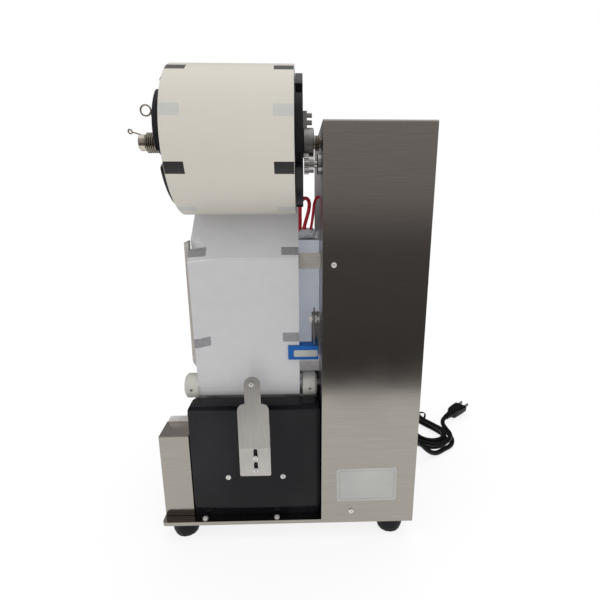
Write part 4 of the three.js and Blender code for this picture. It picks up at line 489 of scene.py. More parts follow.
def smoothing_group():
    """Node group that merges split points and makes edges past an angle sharp."""
    merge_reach, sharp_degrees = 0.01, 32
    group = bpy.data.node_groups.new("edge_angle_smoothing", "GeometryNodeTree")
    for way in ("INPUT", "OUTPUT"):
        group.interface.new_socket("Geometry", in_out=way, socket_type="NodeSocketGeometry")
    kinds = ("NodeGroupInput", "GeometryNodeMergeByDistance", "GeometryNodeInputMeshEdgeAngle")
    kinds += ("FunctionNodeCompare", "GeometryNodeSetMeshNormal", "NodeGroupOutput")
    start, merge, angle, compare, normals, end = (group.nodes.new(kind) for kind in kinds)
    set_inputs(merge, Distance=merge_reach * MM)
    compare.data_type = "FLOAT"
    compare.operation = "GREATER_THAN"
    compare.inputs[1].default_value = radians(sharp_degrees)
    normals.mode = "SHARPNESS"
    join(start, 0, merge, "Geometry")
    join(merge, "Geometry", normals, "Mesh")
    join(angle, "Unsigned Angle", compare, 0)
    join(compare, "Result", normals, "Edge Sharpness")
    join(normals, "Mesh", end, 0)
    return group


def finish_nodes():
    smoothing = smoothing_group()
    for finish, names in finish_of.items():
        for name in names.split():
            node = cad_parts[name]
            for holder in node.material_slots:
                holder.material = LOOKS[finish]
            modifier = node.modifiers.new("edge_angle", "NODES")
            modifier.node_group = smoothing


finish_nodes()


# Film roll: wound skin with its printed marks, wound sides and paper core
def film_roll():
    dark_degrees, faint_degrees, mark_count, facet_degrees, least_degrees = 202.6, 245.0, 4, 3, 0.4
    drop, lip, core_wall, core_recess, bore_gap = 0.5, 0.4, 4, 1, 0.6
    pitch = degrees(MARK_PITCH / ROLL_R)
    half = degrees(MARK_LENGTH / ROLL_R) / 2
    firsts = ((dark_degrees, 1), (faint_degrees, 2))
    marks = [(first - k * pitch, index) for k in range(mark_count) for first, index in firsts]
    breaks = {round((centre + side) % 360, 3) for centre, _ in marks for side in (-half, half)}
    kept = [0]
    for angle in sorted(breaks | set(range(0, 360, facet_degrees))):
        if angle - kept[-1] > least_degrees:
            kept.append(angle)
    outside = [(ROLL_R - drop, ROLL_LEFT), (ROLL_R, ROLL_LEFT + lip), (ROLL_R, ROLL_LEFT + MARK_WIDTH)]
    core = ROLL_BORE + core_wall
    core_left = ROLL_LEFT + core_recess
    inside = [(ROLL_BORE + bore_gap, core_left), (core, core_left), (core, ROLL_LEFT)]
    mirrored = [(radius, ROLL_LEFT + ROLL_RIGHT - x) for radius, x in reversed(inside + outside)]
    profile = outside + mirrored + inside
    bm = bmesh.new()
    rings = [[off_axis(x, radius, radians(angle)) for angle in kept] for radius, x in profile]
    faces = skin_into(bm, rings, looped=True)
    side_rows, print_rows, core_rows = (5, 11), (1, 3), range(6, 11)
    for count, face in enumerate(faces):
        row, k = divmod(count, len(kept))
        middle = (kept[k] + (kept + [360])[k + 1]) / 2
        shown = [index for centre, index in marks if abs((middle - centre + 180) % 360 - 180) < half]
        if row in print_rows:
            face.material_index = (shown + [0])[0]
        elif row in side_rows:
            face.material_index = 3
        elif row in core_rows:
            face.material_index = 4
    looks = "film_roll_skin mark_black mark_faint film_side core_paper"
    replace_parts(piece("film_roll_wound", bm, looks, "supply_reel"), "film_roll")


film_roll()


# Outer reel flange: a thin notched disc with rounded teeth, of which one stands out a little, and its hub
def outer_disc():
    """The disc; its sixth notch stands a little early, and the tooth after that one stands out."""
    rim, floor, bore, hub, hub_bevel, hub_inset = 69.8, 52.8, 9, 14, 1, 0.5
    half, edge, stands_out, top_degrees, top_steps = 6.4, 0.8, 2.6, 7, 8
    first_notch, pitch, early = 198.4, 60, 5
    centres = [first_notch + pitch * k for k in range(7)]
    centres[5] -= early
    raised = (centres[5] + half, centres[6] - half)
    corner = [(-0.4, floor), (-0.25, rim - 4), (0.2, rim - 1.6), (1.2, rim - 0.4), (3.2, rim)]
    outline = []
    for before, after in zip(centres, centres[1:]):
        start, end = before + half, after - half
        top = end - start - 2 * top_degrees
        outline += [(start + turn, radius) for turn, radius in corner]
        outline += [(start + top_degrees + top * i / top_steps, rim) for i in range(top_steps + 1)]
        outline += [(end - turn, radius) for turn, radius in reversed(corner)]
        outline += [(end + half - 2, floor), (end + half + 2, floor)]
    left, right = FLANGE_LEFT, FLANGE_RIGHT
    levels = ((left, edge), (left + edge, 0), (right - edge, 0), (right, edge), (right, None), (left, None))
    rings = []
    for x, inset in levels:
        ring = []
        for spot, radius in outline:
            reach = bore if inset is None else radius - inset
            bow = 0.0
            if inset is not None and x < left + 1 and raised[0] < spot < raised[1]:
                bow = stands_out * sin(pi * (spot - raised[0]) / (raised[1] - raised[0])) ** 0.5
            ring.append(off_axis(x - bow, reach, radians(spot)))
        rings.append(ring)
    bm = bmesh.new()
    skin_into(bm, rings, looped=True)
    hub_right, hub_end = left + hub_inset, HUB_LEFT + hub_bevel
    hub_profile = [(bore, hub_right), (hub, hub_right), (hub, hub_end)]
    hub_profile += [(hub - hub_bevel, HUB_LEFT), (bore, HUB_LEFT)]
    lathe_into(bm, hub_profile, (0, ROLL_Y, ROLL_Z), RIGHT, 40, looped=True)
    made = piece("outer_flange_disc", bm, "reel_black", "supply_reel", 30)
    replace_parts(made, "outer_flange")


outer_disc()


# Film web from the roll to the take-up reel, with its crease, curl, marks and the hole left by a lid
def film_circles():
    """Circles (y, z, radius, side) that the film runs over."""
    skin = TOUCH + FILM_THICK / 2
    return [
        (ROLL_Y, ROLL_Z, ROLL_R + skin, -1),
        (NOSE_Y + NOSE_R, NOSE_TOP - NOSE_R, NOSE_R + skin, 1),
        (REAR_ROLLER_Y, ROLLER_Z, ROLLER_R + skin, 1),
        (FRONT_ROLLER_Y, ROLLER_Z, ROLLER_R + skin, 1),
        (TAKEUP_Y, TAKEUP_Z, WASTE_R + skin, 1),
    ]


def tangent(a, b):
    """Angle of the normal where the film runs straight from one circle to the next."""
    reach = hypot(b[0] - a[0], b[1] - a[1])
    return atan2(b[1] - a[1], b[0] - a[0]) - acos((a[3] * a[2] - b[3] * b[2]) / reach)


def between(a, b, t):
    """Place and normal angle at a share of the way between two points of the film."""
    return tuple(a[n] + (b[n] - a[n]) * t for n in range(3))


def film_path(step=4, bend_steps=14):
    """Points (y, z, normal angle, run length) along the film."""
    circles = film_circles()
    tangents = [tangent(a, b) for a, b in zip(circles, circles[1:])]
    corners = []
    for circle, start, end in zip(circles, tangents[:1] + tangents, tangents + tangents[-1:]):
        cy, cz, radius, sense = circle
        sweep = (end - start) % (2 * pi)
        steps = bend_steps if sweep > 0 else 0
        for k in range(steps + 1):
            angle = start + sweep * k / max(steps, 1)
            reach = sense * radius
            corners.append((cy + reach * cos(angle), cz + reach * sin(angle), angle))
    points = []
    run = 0
    for a, b in zip(corners, corners[1:]):
        length = hypot(b[0] - a[0], b[1] - a[1])
        parts = max(1, round(length / step))
        points += [(*between(a, b, k / parts), run + length * k / parts) for k in range(parts)]
        run += length
    points.append((*corners[-1], run))
    return points


def on_path(path, run):
    """Place (y, z, normal angle) at a run length along the film."""
    run = min(max(run, 0), path[-1][3])
    after = next((i for i, p in enumerate(path) if p[3] > run), len(path) - 1)
    a, b = path[after - 1], path[after]
    return between(a, b, (run - a[3]) / max(b[3] - a[3], 1e-6))


def skew(x, run, crease, mark):
    """How far the pattern slides down the film, where its left side hangs lower."""
    slide_from, slide_width, crease_slide, mark_slide, crease_reach, mark_reach = -95, 58, 4.5, 7.5, 9, 34
    left = max(0.0, (slide_from - x) / slide_width)
    at_crease = exp(-(((run - crease) / crease_reach) ** 2))
    at_mark = exp(-(((run - mark) / mark_reach) ** 2))
    return crease_slide * left**2 * at_crease + mark_slide * min(left * 1.1, 1) ** 2 * at_mark


def film_lift(x, y, z, run):
    """How far the film stands off its taut line, along its outward normal."""
    settled, wave, curl_low, curl_high, curl_top = 25, 0.7, 370, 372, 406
    curl_width, curl_growth, lower_curl_width = 3, 15, 22
    bump_x, bump_z, bump_r, bump_height = -86.6, 351.5, 2.6, 1.2
    if y >= ROLL_Y or z <= ROLLER_Z + settled:
        return 0.0
    away = share_of(abs(z - NOSE_TOP), 0, 12)
    waves = noise.noise(Vector((x * 0.018, run * 0.012, 3.1)))
    lift = away * wave * max(waves + 0.25, 0)
    if z > NOSE_TOP + 5:
        wide = curl_width + curl_growth * (1 - share_of(z, curl_high, curl_top))
        curl = max(0.0, (FILM_LEFT + wide - x) / wide)
        lift -= 0.55 * wide * curl**1.3 * share_of(z, curl_low, curl_low + 5)
    else:
        curl = max(0.0, (FILM_LEFT + lower_curl_width - x) / lower_curl_width)
        lift += 0.5 * curl**2 * away
    bump = hypot(x - bump_x, z - bump_z) / bump_r
    return lift + bump_height * exp(-bump * bump)


def film_lines(path):
    """Crease with its painted highlight strip, marks, and the runs (from, to, material) that they take up
    along the film.
    """
    crease_angle, crease_up, crease_highlight_half, first_mark_z, second_mark_up = 0.15, 4, 0.3, 367.5, 3
    bend_y = film_circles()[1][0]
    bend = [p for p in path if p[1] > NOSE_TOP - 20 and abs(p[0] - bend_y) <= 8]
    crease = min((abs(p[2] - crease_angle), p[3]) for p in bend)[1] - crease_up
    top = next(p[3] for p in path if abs(p[1] - first_mark_z) < 3 and p[0] < ROLL_Y)
    second = top + MARK_PITCH - second_mark_up
    marks = [top] + [second + MARK_PITCH * k for k in range(6)]
    lines = [(m - MARK_LENGTH / 2, m + MARK_LENGTH / 2, 1) for m in marks]
    lines.append((crease - crease_highlight_half, crease + crease_highlight_half, 2))
    return crease, second, lines


def film_grid(path, lines):
    """Rows along the film and columns across it, with one at each edge of a line."""
    least, inner_columns = 0.55, 24
    fixed = {edge for line in lines for edge in line[:2]}
    rows = []
    for run in sorted(fixed | {p[3] for p in path}):
        if not rows or run - rows[-1] >= least:
            rows.append(run)
        elif run in fixed:
            rows[-1] = run
    left, right = FILM_LEFT + MARK_WIDTH, FILM_RIGHT - MARK_WIDTH
    columns = {left, right} | {left + (right - left) * k / inner_columns for k in range(1, inner_columns)}
    columns |= {FILM_LEFT + extra for extra in (0, 4, 8, 12, 16)}
    columns |= {FILM_RIGHT - extra for extra in (0, 5, 10, 15)}
    return rows, sorted(columns)


def film_web():
    path = film_path()
    crease, second_mark, lines = film_lines(path)
    rows, columns = film_grid(path, lines)
    bm = bmesh.new()
    layers = []
    for side in (1, -1):
        grid = []
        for run in rows:
            row = []
            for x in columns:
                y, z, angle = on_path(path, run + skew(x, run, crease, second_mark))
                out = side * FILM_THICK / 2 + film_lift(x, y, z, run)
                row.append(bm.verts.new(at(x, y + out * cos(angle), z + out * sin(angle))))
            grid.append(row)
        layers.append(grid)
    for grid in layers:
        for i in range(len(rows) - 1):
            middle = (rows[i] + rows[i + 1]) / 2
            kind = next((index for a, b, index in lines if a < middle < b), 0)
            for k in range(len(columns) - 1):
                face = bm.faces.new((grid[i][k], grid[i][k + 1], grid[i + 1][k + 1], grid[i + 1][k]))
                centre = (columns[k] + columns[k + 1]) / 2
                edge = centre < FILM_LEFT + MARK_WIDTH or centre > FILM_RIGHT - MARK_WIDTH
                # Material 2 is the painted highlight strip along the crease.
                face.material_index = kind if edge or kind == 2 else 0
    near, far = layers
    for i in range(len(rows) - 1):
        for k in (0, -1):
            bm.faces.new((near[i][k], near[i + 1][k], far[i + 1][k], far[i][k]))
    for k in range(len(columns) - 1):
        for i in (0, -1):
            bm.faces.new((near[i][k], near[i][k + 1], far[i][k + 1], far[i][k]))
    made = piece("film_web_sheet", bm, "film_skin mark_grey film_crease", None, 60)
    cut_lid_hole(made)
    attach(made, "frame")
    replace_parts(made, "film_web")


def cut_lid_hole(web):
    reach = 60
    bm = bmesh.new()
    middle = (CUP_X, FRONT_ROLLER_Y, (ROLLER_Z + TAKEUP_Z) / 2)
    lathe_into(bm, [(LID_R, 0), (LID_R, reach)], middle, FAR, 96)
    tool = piece("lid_hole_tool", bm, "film_skin", None)
    cutter = web.modifiers.new("hole", "BOOLEAN")
    cutter.operation = "DIFFERENCE"
    cutter.object = tool
    cutter.solver = "EXACT"
    cutter.material_mode = "INDEX"
    apply_modifiers(web)
    bpy.data.objects.remove(tool)


film_web()


# Springs, wires and cord: round wire along points
def helix(axis, radius, start, end, curls, centre, start_degrees, steps=28):
    """Points of a helix along x or z. The centre holds the other two coordinates."""
    points = []
    total = round(curls * steps)
    for i in range(total + 1):
        angle = radians(start_degrees) + 2 * pi * i / steps
        along = start + (end - start) * i / total
        a, b = centre[0] + radius * cos(angle), centre[1] + radius * sin(angle)
        points.append(Vector((along, a, b)) if axis == "x" else Vector((a, b, along)))
    return points


def wire(name, points, radius, body, look="spring_steel", sides=12):
    bm = bmesh.new()
    tube_into(bm, points, radius, sides)
    return piece(name, bm, look, body, 60)


def lock_spring():
    """Torsion spring on the outer hub: a ring on a leg, the coil, and an arm that ends in an eye."""
    wire_r, coil_r, pitch, curls = 0.9, 10.05, 2.3, 5.5
    ring_r, ring_aside, ring_up, ring_left, ring_degrees, ring_steps = 5.4, 4.5, 31, 8, 345, 28
    arm_left, arm_up, eye_length, eye_half, eye_degrees, eye_steps = 33.5, 12.35, 4.2, 2.2, 330, 24
    start = HUB_LEFT - TOUCH - wire_r
    coil = helix("x", coil_r, start, start - curls * pitch, curls, (ROLL_Y, ROLL_Z), 180)
    ring_x, ring_y, ring_z = HUB_LEFT - ring_left, ROLL_Y - coil_r - ring_aside, ROLL_Z + ring_up
    ring = []
    for i in range(ring_steps + 1):
        a = radians(ring_degrees) * (1 - i / ring_steps)
        ring.append(Vector((ring_x + ring_r * cos(a), ring_y, ring_z + ring_r * sin(a))))
    foot = Vector((start, ROLL_Y - coil_r, ROLL_Z + coil_r))
    leg = smooth_line([ring[-1], ring[-1].lerp(foot, 0.5), foot, coil[0]], 5)
    end = coil[-1]
    tip = Vector((HUB_LEFT - arm_left, end.y, ROLL_Z + arm_up))
    out = Vector((end.x - 0.9, end.y, end.z + 4))
    arm = smooth_line([end, out, out.lerp(tip, 0.55) + Vector((0, 0, 1.2)), tip], 6)
    points = ring[:-1] + leg[:-1] + coil[:-1] + arm
    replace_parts(wire("lock_spring_wire", points, wire_r, "supply_reel"), "lock_spring")
    heading = (tip - arm[-2]).normalized()
    eye = []
    for i in range(eye_steps + 1):
        a = radians(eye_degrees) * i / eye_steps
        eye.append(tip + heading * (eye_length * sin(a / 2) ** 2) + Vector(UP) * eye_half * sin(a))
    wire("lock_spring_eye", eye, wire_r, "supply_reel", sides=10)


def brake_spring():
    length, coil_r, curls, wire_r = 7.9, 7.6, 2.3, 1
    room = TOUCH + wire_r
    points = helix("x", coil_r, room - length, -room, curls, (ROLL_Y, ROLL_Z), 90)
    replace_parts(wire("brake_spring_wire", points, wire_r, "frame"), "brake_spring")


lock_spring()
brake_spring()


# Left rail box: a tall near part, a low part along the drawer, an upstand and the drawer's guide wall
def rail_box():
    left, right, near, far, floor, sheet = -200, -163.4, 12, 294, 29.3, 1.2
    step, near_top, far_top, wall_top, raised = 49.2, 144, 104, 116, 152
    bm = bmesh.new()
    outer = [(near, floor), (far, floor), (far, far_top)]
    outer += [(step, far_top), (step, near_top), (near, near_top)]
    low_roof, high_roof = far_top - sheet, near_top - sheet
    inner = [(near + sheet, floor), (far - sheet, floor), (far - sheet, low_roof)]
    inner += [(step - sheet, low_roof), (step - sheet, high_roof), (near + sheet, high_roof)]
    rings = []
    for outline, x in ((outer, left), (outer, right), (inner, right - sheet), (inner, left + sheet)):
        rings.append([bm.verts.new(at(x, y, z)) for y, z in outline])
    left_outer, right_outer, right_inner, left_inner = rings
    for k in range(1, 6):
        j = (k + 1) % 6
        bm.faces.new((left_outer[k], left_outer[j], right_outer[j], right_outer[k]))
        bm.faces.new((left_inner[k], right_inner[k], right_inner[j], left_inner[j]))
    for ring in rings:
        bm.faces.new(ring)
    for a, b in ((left_outer, left_inner), (right_outer, right_inner)):
        bm.faces.new((a[0], a[1], b[1], b[0]))
    for k in (0, 1):
        bm.faces.new((left_outer[k], right_outer[k], right_inner[k], left_inner[k]))
    shell = piece("rail_box_sheet", bm, "tower_steel", "frame")
    soften(shell, 0.8)

    lean, corner_wide, corner_high, corner_steps, foot_left, overlap = 2.5, 5, 6, 6, 0.6, 0.4
    outline = [(left + foot_left, near_top - overlap)]
    for k in range(corner_steps + 1):
        a = k * pi / 2 / corner_steps
        across = left + lean + corner_wide * (1 - cos(a))
        outline.append((across, raised - corner_high + corner_high * sin(a)))
    outline += [(right, raised), (right, near_top - overlap)]
    bm = bmesh.new()
    slab_into(bm, outline, lambda u, v, w: (u, w, v), step - sheet, step)
    box_into(bm, right - sheet, right, step, far, low_roof, wall_top)
    rib_near, rib_far, rib_high, rib_out, rib_in = 60, 280, 2, 5, 0.6
    for low in (96, 112):
        box_into(bm, right - rib_in, right + rib_out, rib_near, rib_far, low, low + rib_high)
    # The upstand takes the pale finish with its painted glow.
    ribs = piece("rail_box_upstand", bm, "pale_plate_painted_glow", "frame")
    soften(ribs, 0.4)
    ribs.parent = shell
    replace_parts(shell, "rail_box")


rail_box()


# Return springs, coiled round the guide posts
def return_springs():
    wire_r, end_play, coil_r, end_rise, end_curls, curls, steps = 0.8, 0.9, 9, 0.4, 0.8, 7.4, 24
    for name, y in zip(("return_spring_rear", "return_spring_front"), POST_YS):
        low, high = SPRING_LOW + end_play, SPRING_HIGH - end_play
        parts = [(low, low + end_rise, end_curls, -360 * end_curls)]
        parts += [(low + end_rise, high - end_rise, curls, 0)]
        parts += [(high - end_rise, high, end_curls, 360 * curls % 360)]
        points = []
        for start, end, turns, first in parts:
            points = points[:-1] + helix("z", coil_r, start, end, turns, (POST_X, y), first, steps)
        spring = wire(f"{name}_wire", points, wire_r, "frame")
        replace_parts(spring, name)
        at(POST_X, y, SPRING_LOW)
        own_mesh(spring)
        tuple(UP)


return_springs()


# Screws
def cross_screw_into(bm, centre, direction, radius, head):
    """Pan head with a cross recess, standing on a face."""
    u, v, d = axes_for(direction)
    u, v = (u + v).normalized(), (v - u).normalized()
    base = Vector(centre)
    arm, reach, depth, dome_share = radius * 0.14, radius * 0.56, head * 0.45, 0.35

    def top(a, b):
        rr = hypot(a, b) / radius
        height = head * (1 - dome_share * rr * rr)
        crossed = (abs(a) < arm and abs(b) < reach) or (abs(b) < arm and abs(a) < reach)
        return height - depth if crossed else height

    radius_shares = (0.12, 0.2, 0.32, 0.45, 0.53, 0.58, 0.75, 0.88, 0.96)
    rings = []
    for share in radius_shares:
        ring = [(radius * share * c, radius * share * s) for c, s in around(32)]
        rings.append([base + u * a + v * b + d * top(a, b) for a, b in ring])
    for height in (head / 2, 0):
        rings.append([base + (u * radius * c + v * radius * s) + d * height for c, s in around(32)])
    skin_into(bm, rings)


def screws(name, places, direction, radius, body, head=1.9, look="screw_metal"):
    bm = bmesh.new()
    for place in places:
        cross_screw_into(bm, place, direction, radius, head)
    piece(name, bm, look, body, 25)


screws("tower_screws", [(12.5, 0, 358.1), (37.9, 0, 41.4)], NEAR, 3.0, "frame")
screws("cover_screws", [(-117.2, 12, 85.4), (-48.3, 12, 85.3)], NEAR, 3.2, "frame", 2.0)
screws("tray_screws", [(-148.4, 5.6, 29), (-56.7, 5.6, 29)], UP, 3.4, "frame", 2.2)
screws("bracket_top_screw", [(-83.2, 8.4, 214.5)], NEAR, 2.9, "finger_bracket", 2.2)
screws("bracket_slot_screws", [(-81.8, 10.2, 96.3), (-81.8, 10.2, 113.5)], NEAR, 3.1, "frame", 2.2)


# Head's insulation and wires, and the sensor's adjusting screw, between the web and the tower
def terminal_wrap():
    """Crumpled wrap round the terminals, as a closed skin of folds that fills a box."""
    low, high = (-31, 83, 376.2), (-3, 112, 391)
    seed, corner_power, least, coarse, fine, fine_share, fold_height = 2.7, 0.55, 0.74, 3.1, 7.3, 0.6, 0.3
    bm = bmesh.new()
    bmesh.ops.create_icosphere(bm, subdivisions=5, radius=1)
    for vert in bm.verts:
        d = vert.co.copy()
        fold = noise.noise(d * coarse + Vector((seed, 0, 0)))
        fold += fine_share * noise.noise(d * fine + Vector((0, seed, 0)))
        size = least + fold_height * abs(fold)
        spots = zip(low, high, d)
        vert.co = at(*((a + b) / 2 + (b - a) / 2 * boxed(c, corner_power) * size for a, b, c in spots))
        vert.co.z = max(vert.co.z, low[2] * MM)
    piece("terminal_wrap", bm, "insulation", "frame", 28)


def heater_wires():
    """Two fixed red wires: one looped over the terminals, one from the terminals to the tower's wall."""
    loop = [(-24.6, 90, 384), (-24.2, 88, 400), (-24.2, 87, 412), (-23.4, 86, 421), (-19.6, 85, 426.6)]
    loop += [(-14.8, 85, 426), (-12.6, 85, 420.4), (-13.6, 85, 411.6), (-16.2, 86, 402), (-18.6, 88, 393)]
    loop += [(-19.4, 90, 384)]
    lead = [(-11.6, 90, 384), (-9.2, 90, 397.7), (-7.6, 90, 410), (-6.4, 90, 419.5), (-4.2, 90, 426)]
    lead += [(-0.3, 90, 429.4)]
    loop_r, lead_r = 2.3, 1.8
    wire("heater_wire_loop", smooth_line(loop, 8), loop_r, "frame", "red_rubber", 14)
    made = wire("heater_wire", smooth_line(lead, 8), lead_r, "frame", "red_rubber", 14)
    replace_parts(made, "heater_lead")


def sensor_stud():
    """Stud from the tower's wall with three washers and two nuts, and the bent adjusting rod."""
    centre = (0, 40, 285)
    stud_r, nut_r, bevel = 1.9, 4.1, 0.2
    bm = bmesh.new()
    lathe_into(bm, [(stud_r - 0.3, -15), (stud_r, -14.4), (stud_r, -0.4)], centre, RIGHT, 20)
    for start, radius, width in ((-5.6, 5.2, 0.9), (-11.2, 5.2, 0.9), (-2.2, 5.4, 1)):
        end, face_r = start + width, radius - bevel
        profile = [(face_r, start), (radius, start + bevel), (radius, end - bevel), (face_r, end)]
        lathe_into(bm, profile, centre, RIGHT, 30)
    for start in (-14, -8.6):
        face_r, end = nut_r - 0.6, start + 2.9
        profile = [(face_r, start), (nut_r, start + 0.5), (nut_r, end - 0.5), (face_r, end)]
        lathe_into(bm, profile, centre, RIGHT, 6)
    piece("sensor_stud", bm, "screw_metal", "frame", 25)
    rod_r = 0.9
    rod = [(-8.2, 34, 301), (-8.2, 34, 290), (-8.2, 34, 272), (-8.2, 34, 260), (-7.6, 34, 255)]
    rod += [(-5.4, 35, 253.8), (-3.2, 36, 253.5)]
    wire("sensor_adjusting_rod", smooth_line(rod, 5), rod_r, "frame", "steel", 10)


terminal_wrap()
heater_wires()
sensor_stud()

# Operator's side: controller face with an unlit display and keys, and panel fasteners
FACE_Y, PANEL_X, CONTROLLER_Z = 303.3, TOWER_W / 2, 430


def on_face(u, v, w):
    return PANEL_X - u, FACE_Y + w, CONTROLLER_Z + v


def segment(u, v, length, width, upright):
    """Outline of one segment of a digit."""
    half, end = length / 2, width / 2
    flat = half - end
    shape = [(-half, 0), (-flat, end), (flat, end), (half, 0), (flat, -end), (-flat, -end)]
    return [(u + b, v + a) if upright else (u + a, v + b) for a, b in shape]


def digit(u, v, height, width):
    """Outlines of the seven segments of a digit."""
    thick = height * 0.11
    half, arm = height / 2, height / 2 - thick * 0.9
    bars = [segment(u, v + level, width - thick * 0.6, thick, False) for level in (-half, 0, half)]
    arms = [(side, level) for side in (-width / 2, width / 2) for level in (-half / 2, half / 2)]
    return bars + [segment(u + side, v + level, arm, thick, True) for side, level in arms]


def face_piece(name, look, outlines, low, high, bevel=0.0):
    bm = bmesh.new()
    for outline in outlines:
        slab_into(bm, outline, on_face, low, high, bevel)
    piece(name, bm, look, "frame", 30)


def controller_face():
    """Window, unlit digits behind it in two rows, and a row of keys."""
    lift, window_thick, segment_low, segment_high, key_thick = 0.02, 0.4, 0.42, 0.52, 1.0
    window_half, window_low, window_top, window_corner, window_bevel = 19.5, -5, 19.5, 1.5, 0.15
    key_pitch, key_half, key_low, key_top, key_corner, key_bevel = 9.8, 3.7, -15.5, -10.5, 1.2, 0.3
    digit_pitch_share, steps = 1.6, (-1.5, -0.5, 0.5, 1.5)
    window = [rounded_outline(-window_half, window_half, window_low, window_top, window_corner)]
    face_piece("controller_window", "display_dark", window, lift, window_thick, window_bevel)
    digits = []
    for v, height, width in ((12.2, 9, 4.8), (0.2, 5.6, 3.1)):
        for step in steps:
            digits += digit(step * width * digit_pitch_share, v, height, width)
    face_piece("controller_digits", "unlit_segment", digits, segment_low, segment_high)
    keys = []
    for step in steps:
        u = step * key_pitch
        keys.append(rounded_outline(u - key_half, u + key_half, key_low, key_top, key_corner))
    face_piece("controller_keys", "key_grey", keys, lift, key_thick, key_bevel)


def head_bolts():
    """Hex bolts with washers on top of the guide posts."""
    washer_r, washer, bevel, flats, head = 8.5, 1.0, 0.2, 10, 5.5
    r = flats / sqrt(3)
    bm = bmesh.new()
    for y in POST_YS:
        base = Vector((POST_X, y, POST_TOP))
        start = base + Vector(UP) * washer
        profile = [(washer_r, 0), (washer_r, washer - bevel), (washer_r - bevel, washer)]
        lathe_into(bm, profile, base, UP, 32)
        lathe_into(bm, [(r, 0), (r, head - 0.5), (r - 0.5, head)], start, UP, 6)
        lathe_into(bm, [(r * 0.5, head - 0.4), (r * 0.5, head - 0.1)], start, UP, 18)
    piece("head_bolts", bm, "screw_metal", "frame", 20)


controller_face()
panel_places = [(x, TOWER_D, z) for x in (9, 108.3) for z in (42, 268, 494)]
screws("panel_screws", panel_places, FAR, 3, "frame")
drawer_places = [(x, 295.8, z) for x in (-150, -13.5) for z in (48, 165)]
screws("drawer_front_screws", drawer_places, FAR, 3, "cup_drawer")
terminal_places = [(x, 95, 391) for x in range(-114, -65, 12)]
screws("terminal_screws", terminal_places, UP, 2.8, "frame", 1.6, "nickel")
head_bolts()


# Bare label on the tower with a plain border, and bare sticker on the sensor
def blank_label(name, x0, x1, z0, z1, y, tilt_degrees, thick, border):
    tilt = radians(tilt_degrees)
    cx, cz = (x0 + x1) / 2, (z0 + z1) / 2
    lift, line, line_high, corner, bevel = 0.02, 0.6, 0.03, 3, 0.08

    def place(u, v, w):
        c, s = cos(tilt), sin(tilt)
        return cx + (u - cx) * c - (v - cz) * s, y - w, cz + (u - cx) * s + (v - cz) * c

    bm = bmesh.new()
    slab_into(bm, rounded_outline(x0, x1, z0, z1, min(corner, (z1 - z0) / 5)), place, lift, thick, bevel)
    if border:
        outer, inner = (
            rounded_outline(x0 + inset, x1 - inset, z0 + inset, z1 - inset, radius)
            for inset, radius in ((border, 2), (border + line, 1.6))
        )
        low, high = thick - lift, thick + line_high
        levels = ((outer, low), (outer, high), (inner, high), (inner, low))
        skin_into(bm, [[place(u, v, w) for u, v in outline] for outline, w in levels], 1, looped=True)
    piece(name, bm, "paper_label label_line", "frame", 30)


blank_label("tower_label_blank", 19, 94, 56, 103, 0, 1.0, 0.25, 3)
blank_label("sensor_sticker_blank", -33, -4, 239.3, 247.8, 31, 0, 0.2, 0)

# Cord: from the gland along the tail, round the hank and out to the plug, one smooth line
HANK_AXIS = radians(110)
ALONG = Vector((cos(HANK_AXIS), sin(HANK_AXIS), 0))
ACROSS = Vector((sin(HANK_AXIS), -cos(HANK_AXIS), 0))
FOLD, RING_GAP, RUN, WAIST, LOOPS_IN, LOOP_STEPS = 24.5, 11.2, 120, 12, 1.5, 24
CLIMB, CORD_LIFT = 8.6, 0.1
FRONT_FOLD = Vector((204.6, 221, 0))
GLAND_Y, GLAND_Z, RELIEF_X = 172, 42, 141.6
PLUG_DEGREES, LEAD_R = 42, 40


def loop_place(place, radius):
    """Along and across at a place of one loop, counted in eighths: two folds and two runs between them."""
    quarter = pi / 2

    def fold(centre, angle):
        return centre + radius * sin(angle), radius * cos(angle)

    def run(share, side):
        return RUN * share, side * (radius - WAIST * sin(pi * share) ** 2)

    if place <= 1:
        return fold(0, (place - 1) * quarter)
    if place < 3:
        return run((place - 1) / 2, 1)
    if place <= 5:
        return fold(RUN, (place - 3) * quarter)
    if place < 7:
        return run(1 - (place - 5) / 2, -1)
    return fold(0, (place - 5) * quarter)


def hank_point(step):
    inward_steps = LOOPS_IN * LOOP_STEPS
    eighth = LOOP_STEPS / 8
    outward = max(step - inward_steps - LOOP_STEPS / 2, 0) / LOOP_STEPS
    inward = min(step, inward_steps) / LOOP_STEPS
    radius = FOLD + RING_GAP * (LOOPS_IN - inward + outward)
    climbed = smoothstep(step, inward_steps + eighth, inward_steps + 3 * eighth)
    height = CORD_D / 2 + CORD_LIFT + CLIMB * climbed
    along, across = loop_place((step % LOOP_STEPS) / eighth, radius)
    return FRONT_FOLD + Vector((0, 0, height)) + ALONG * along + ACROSS * across


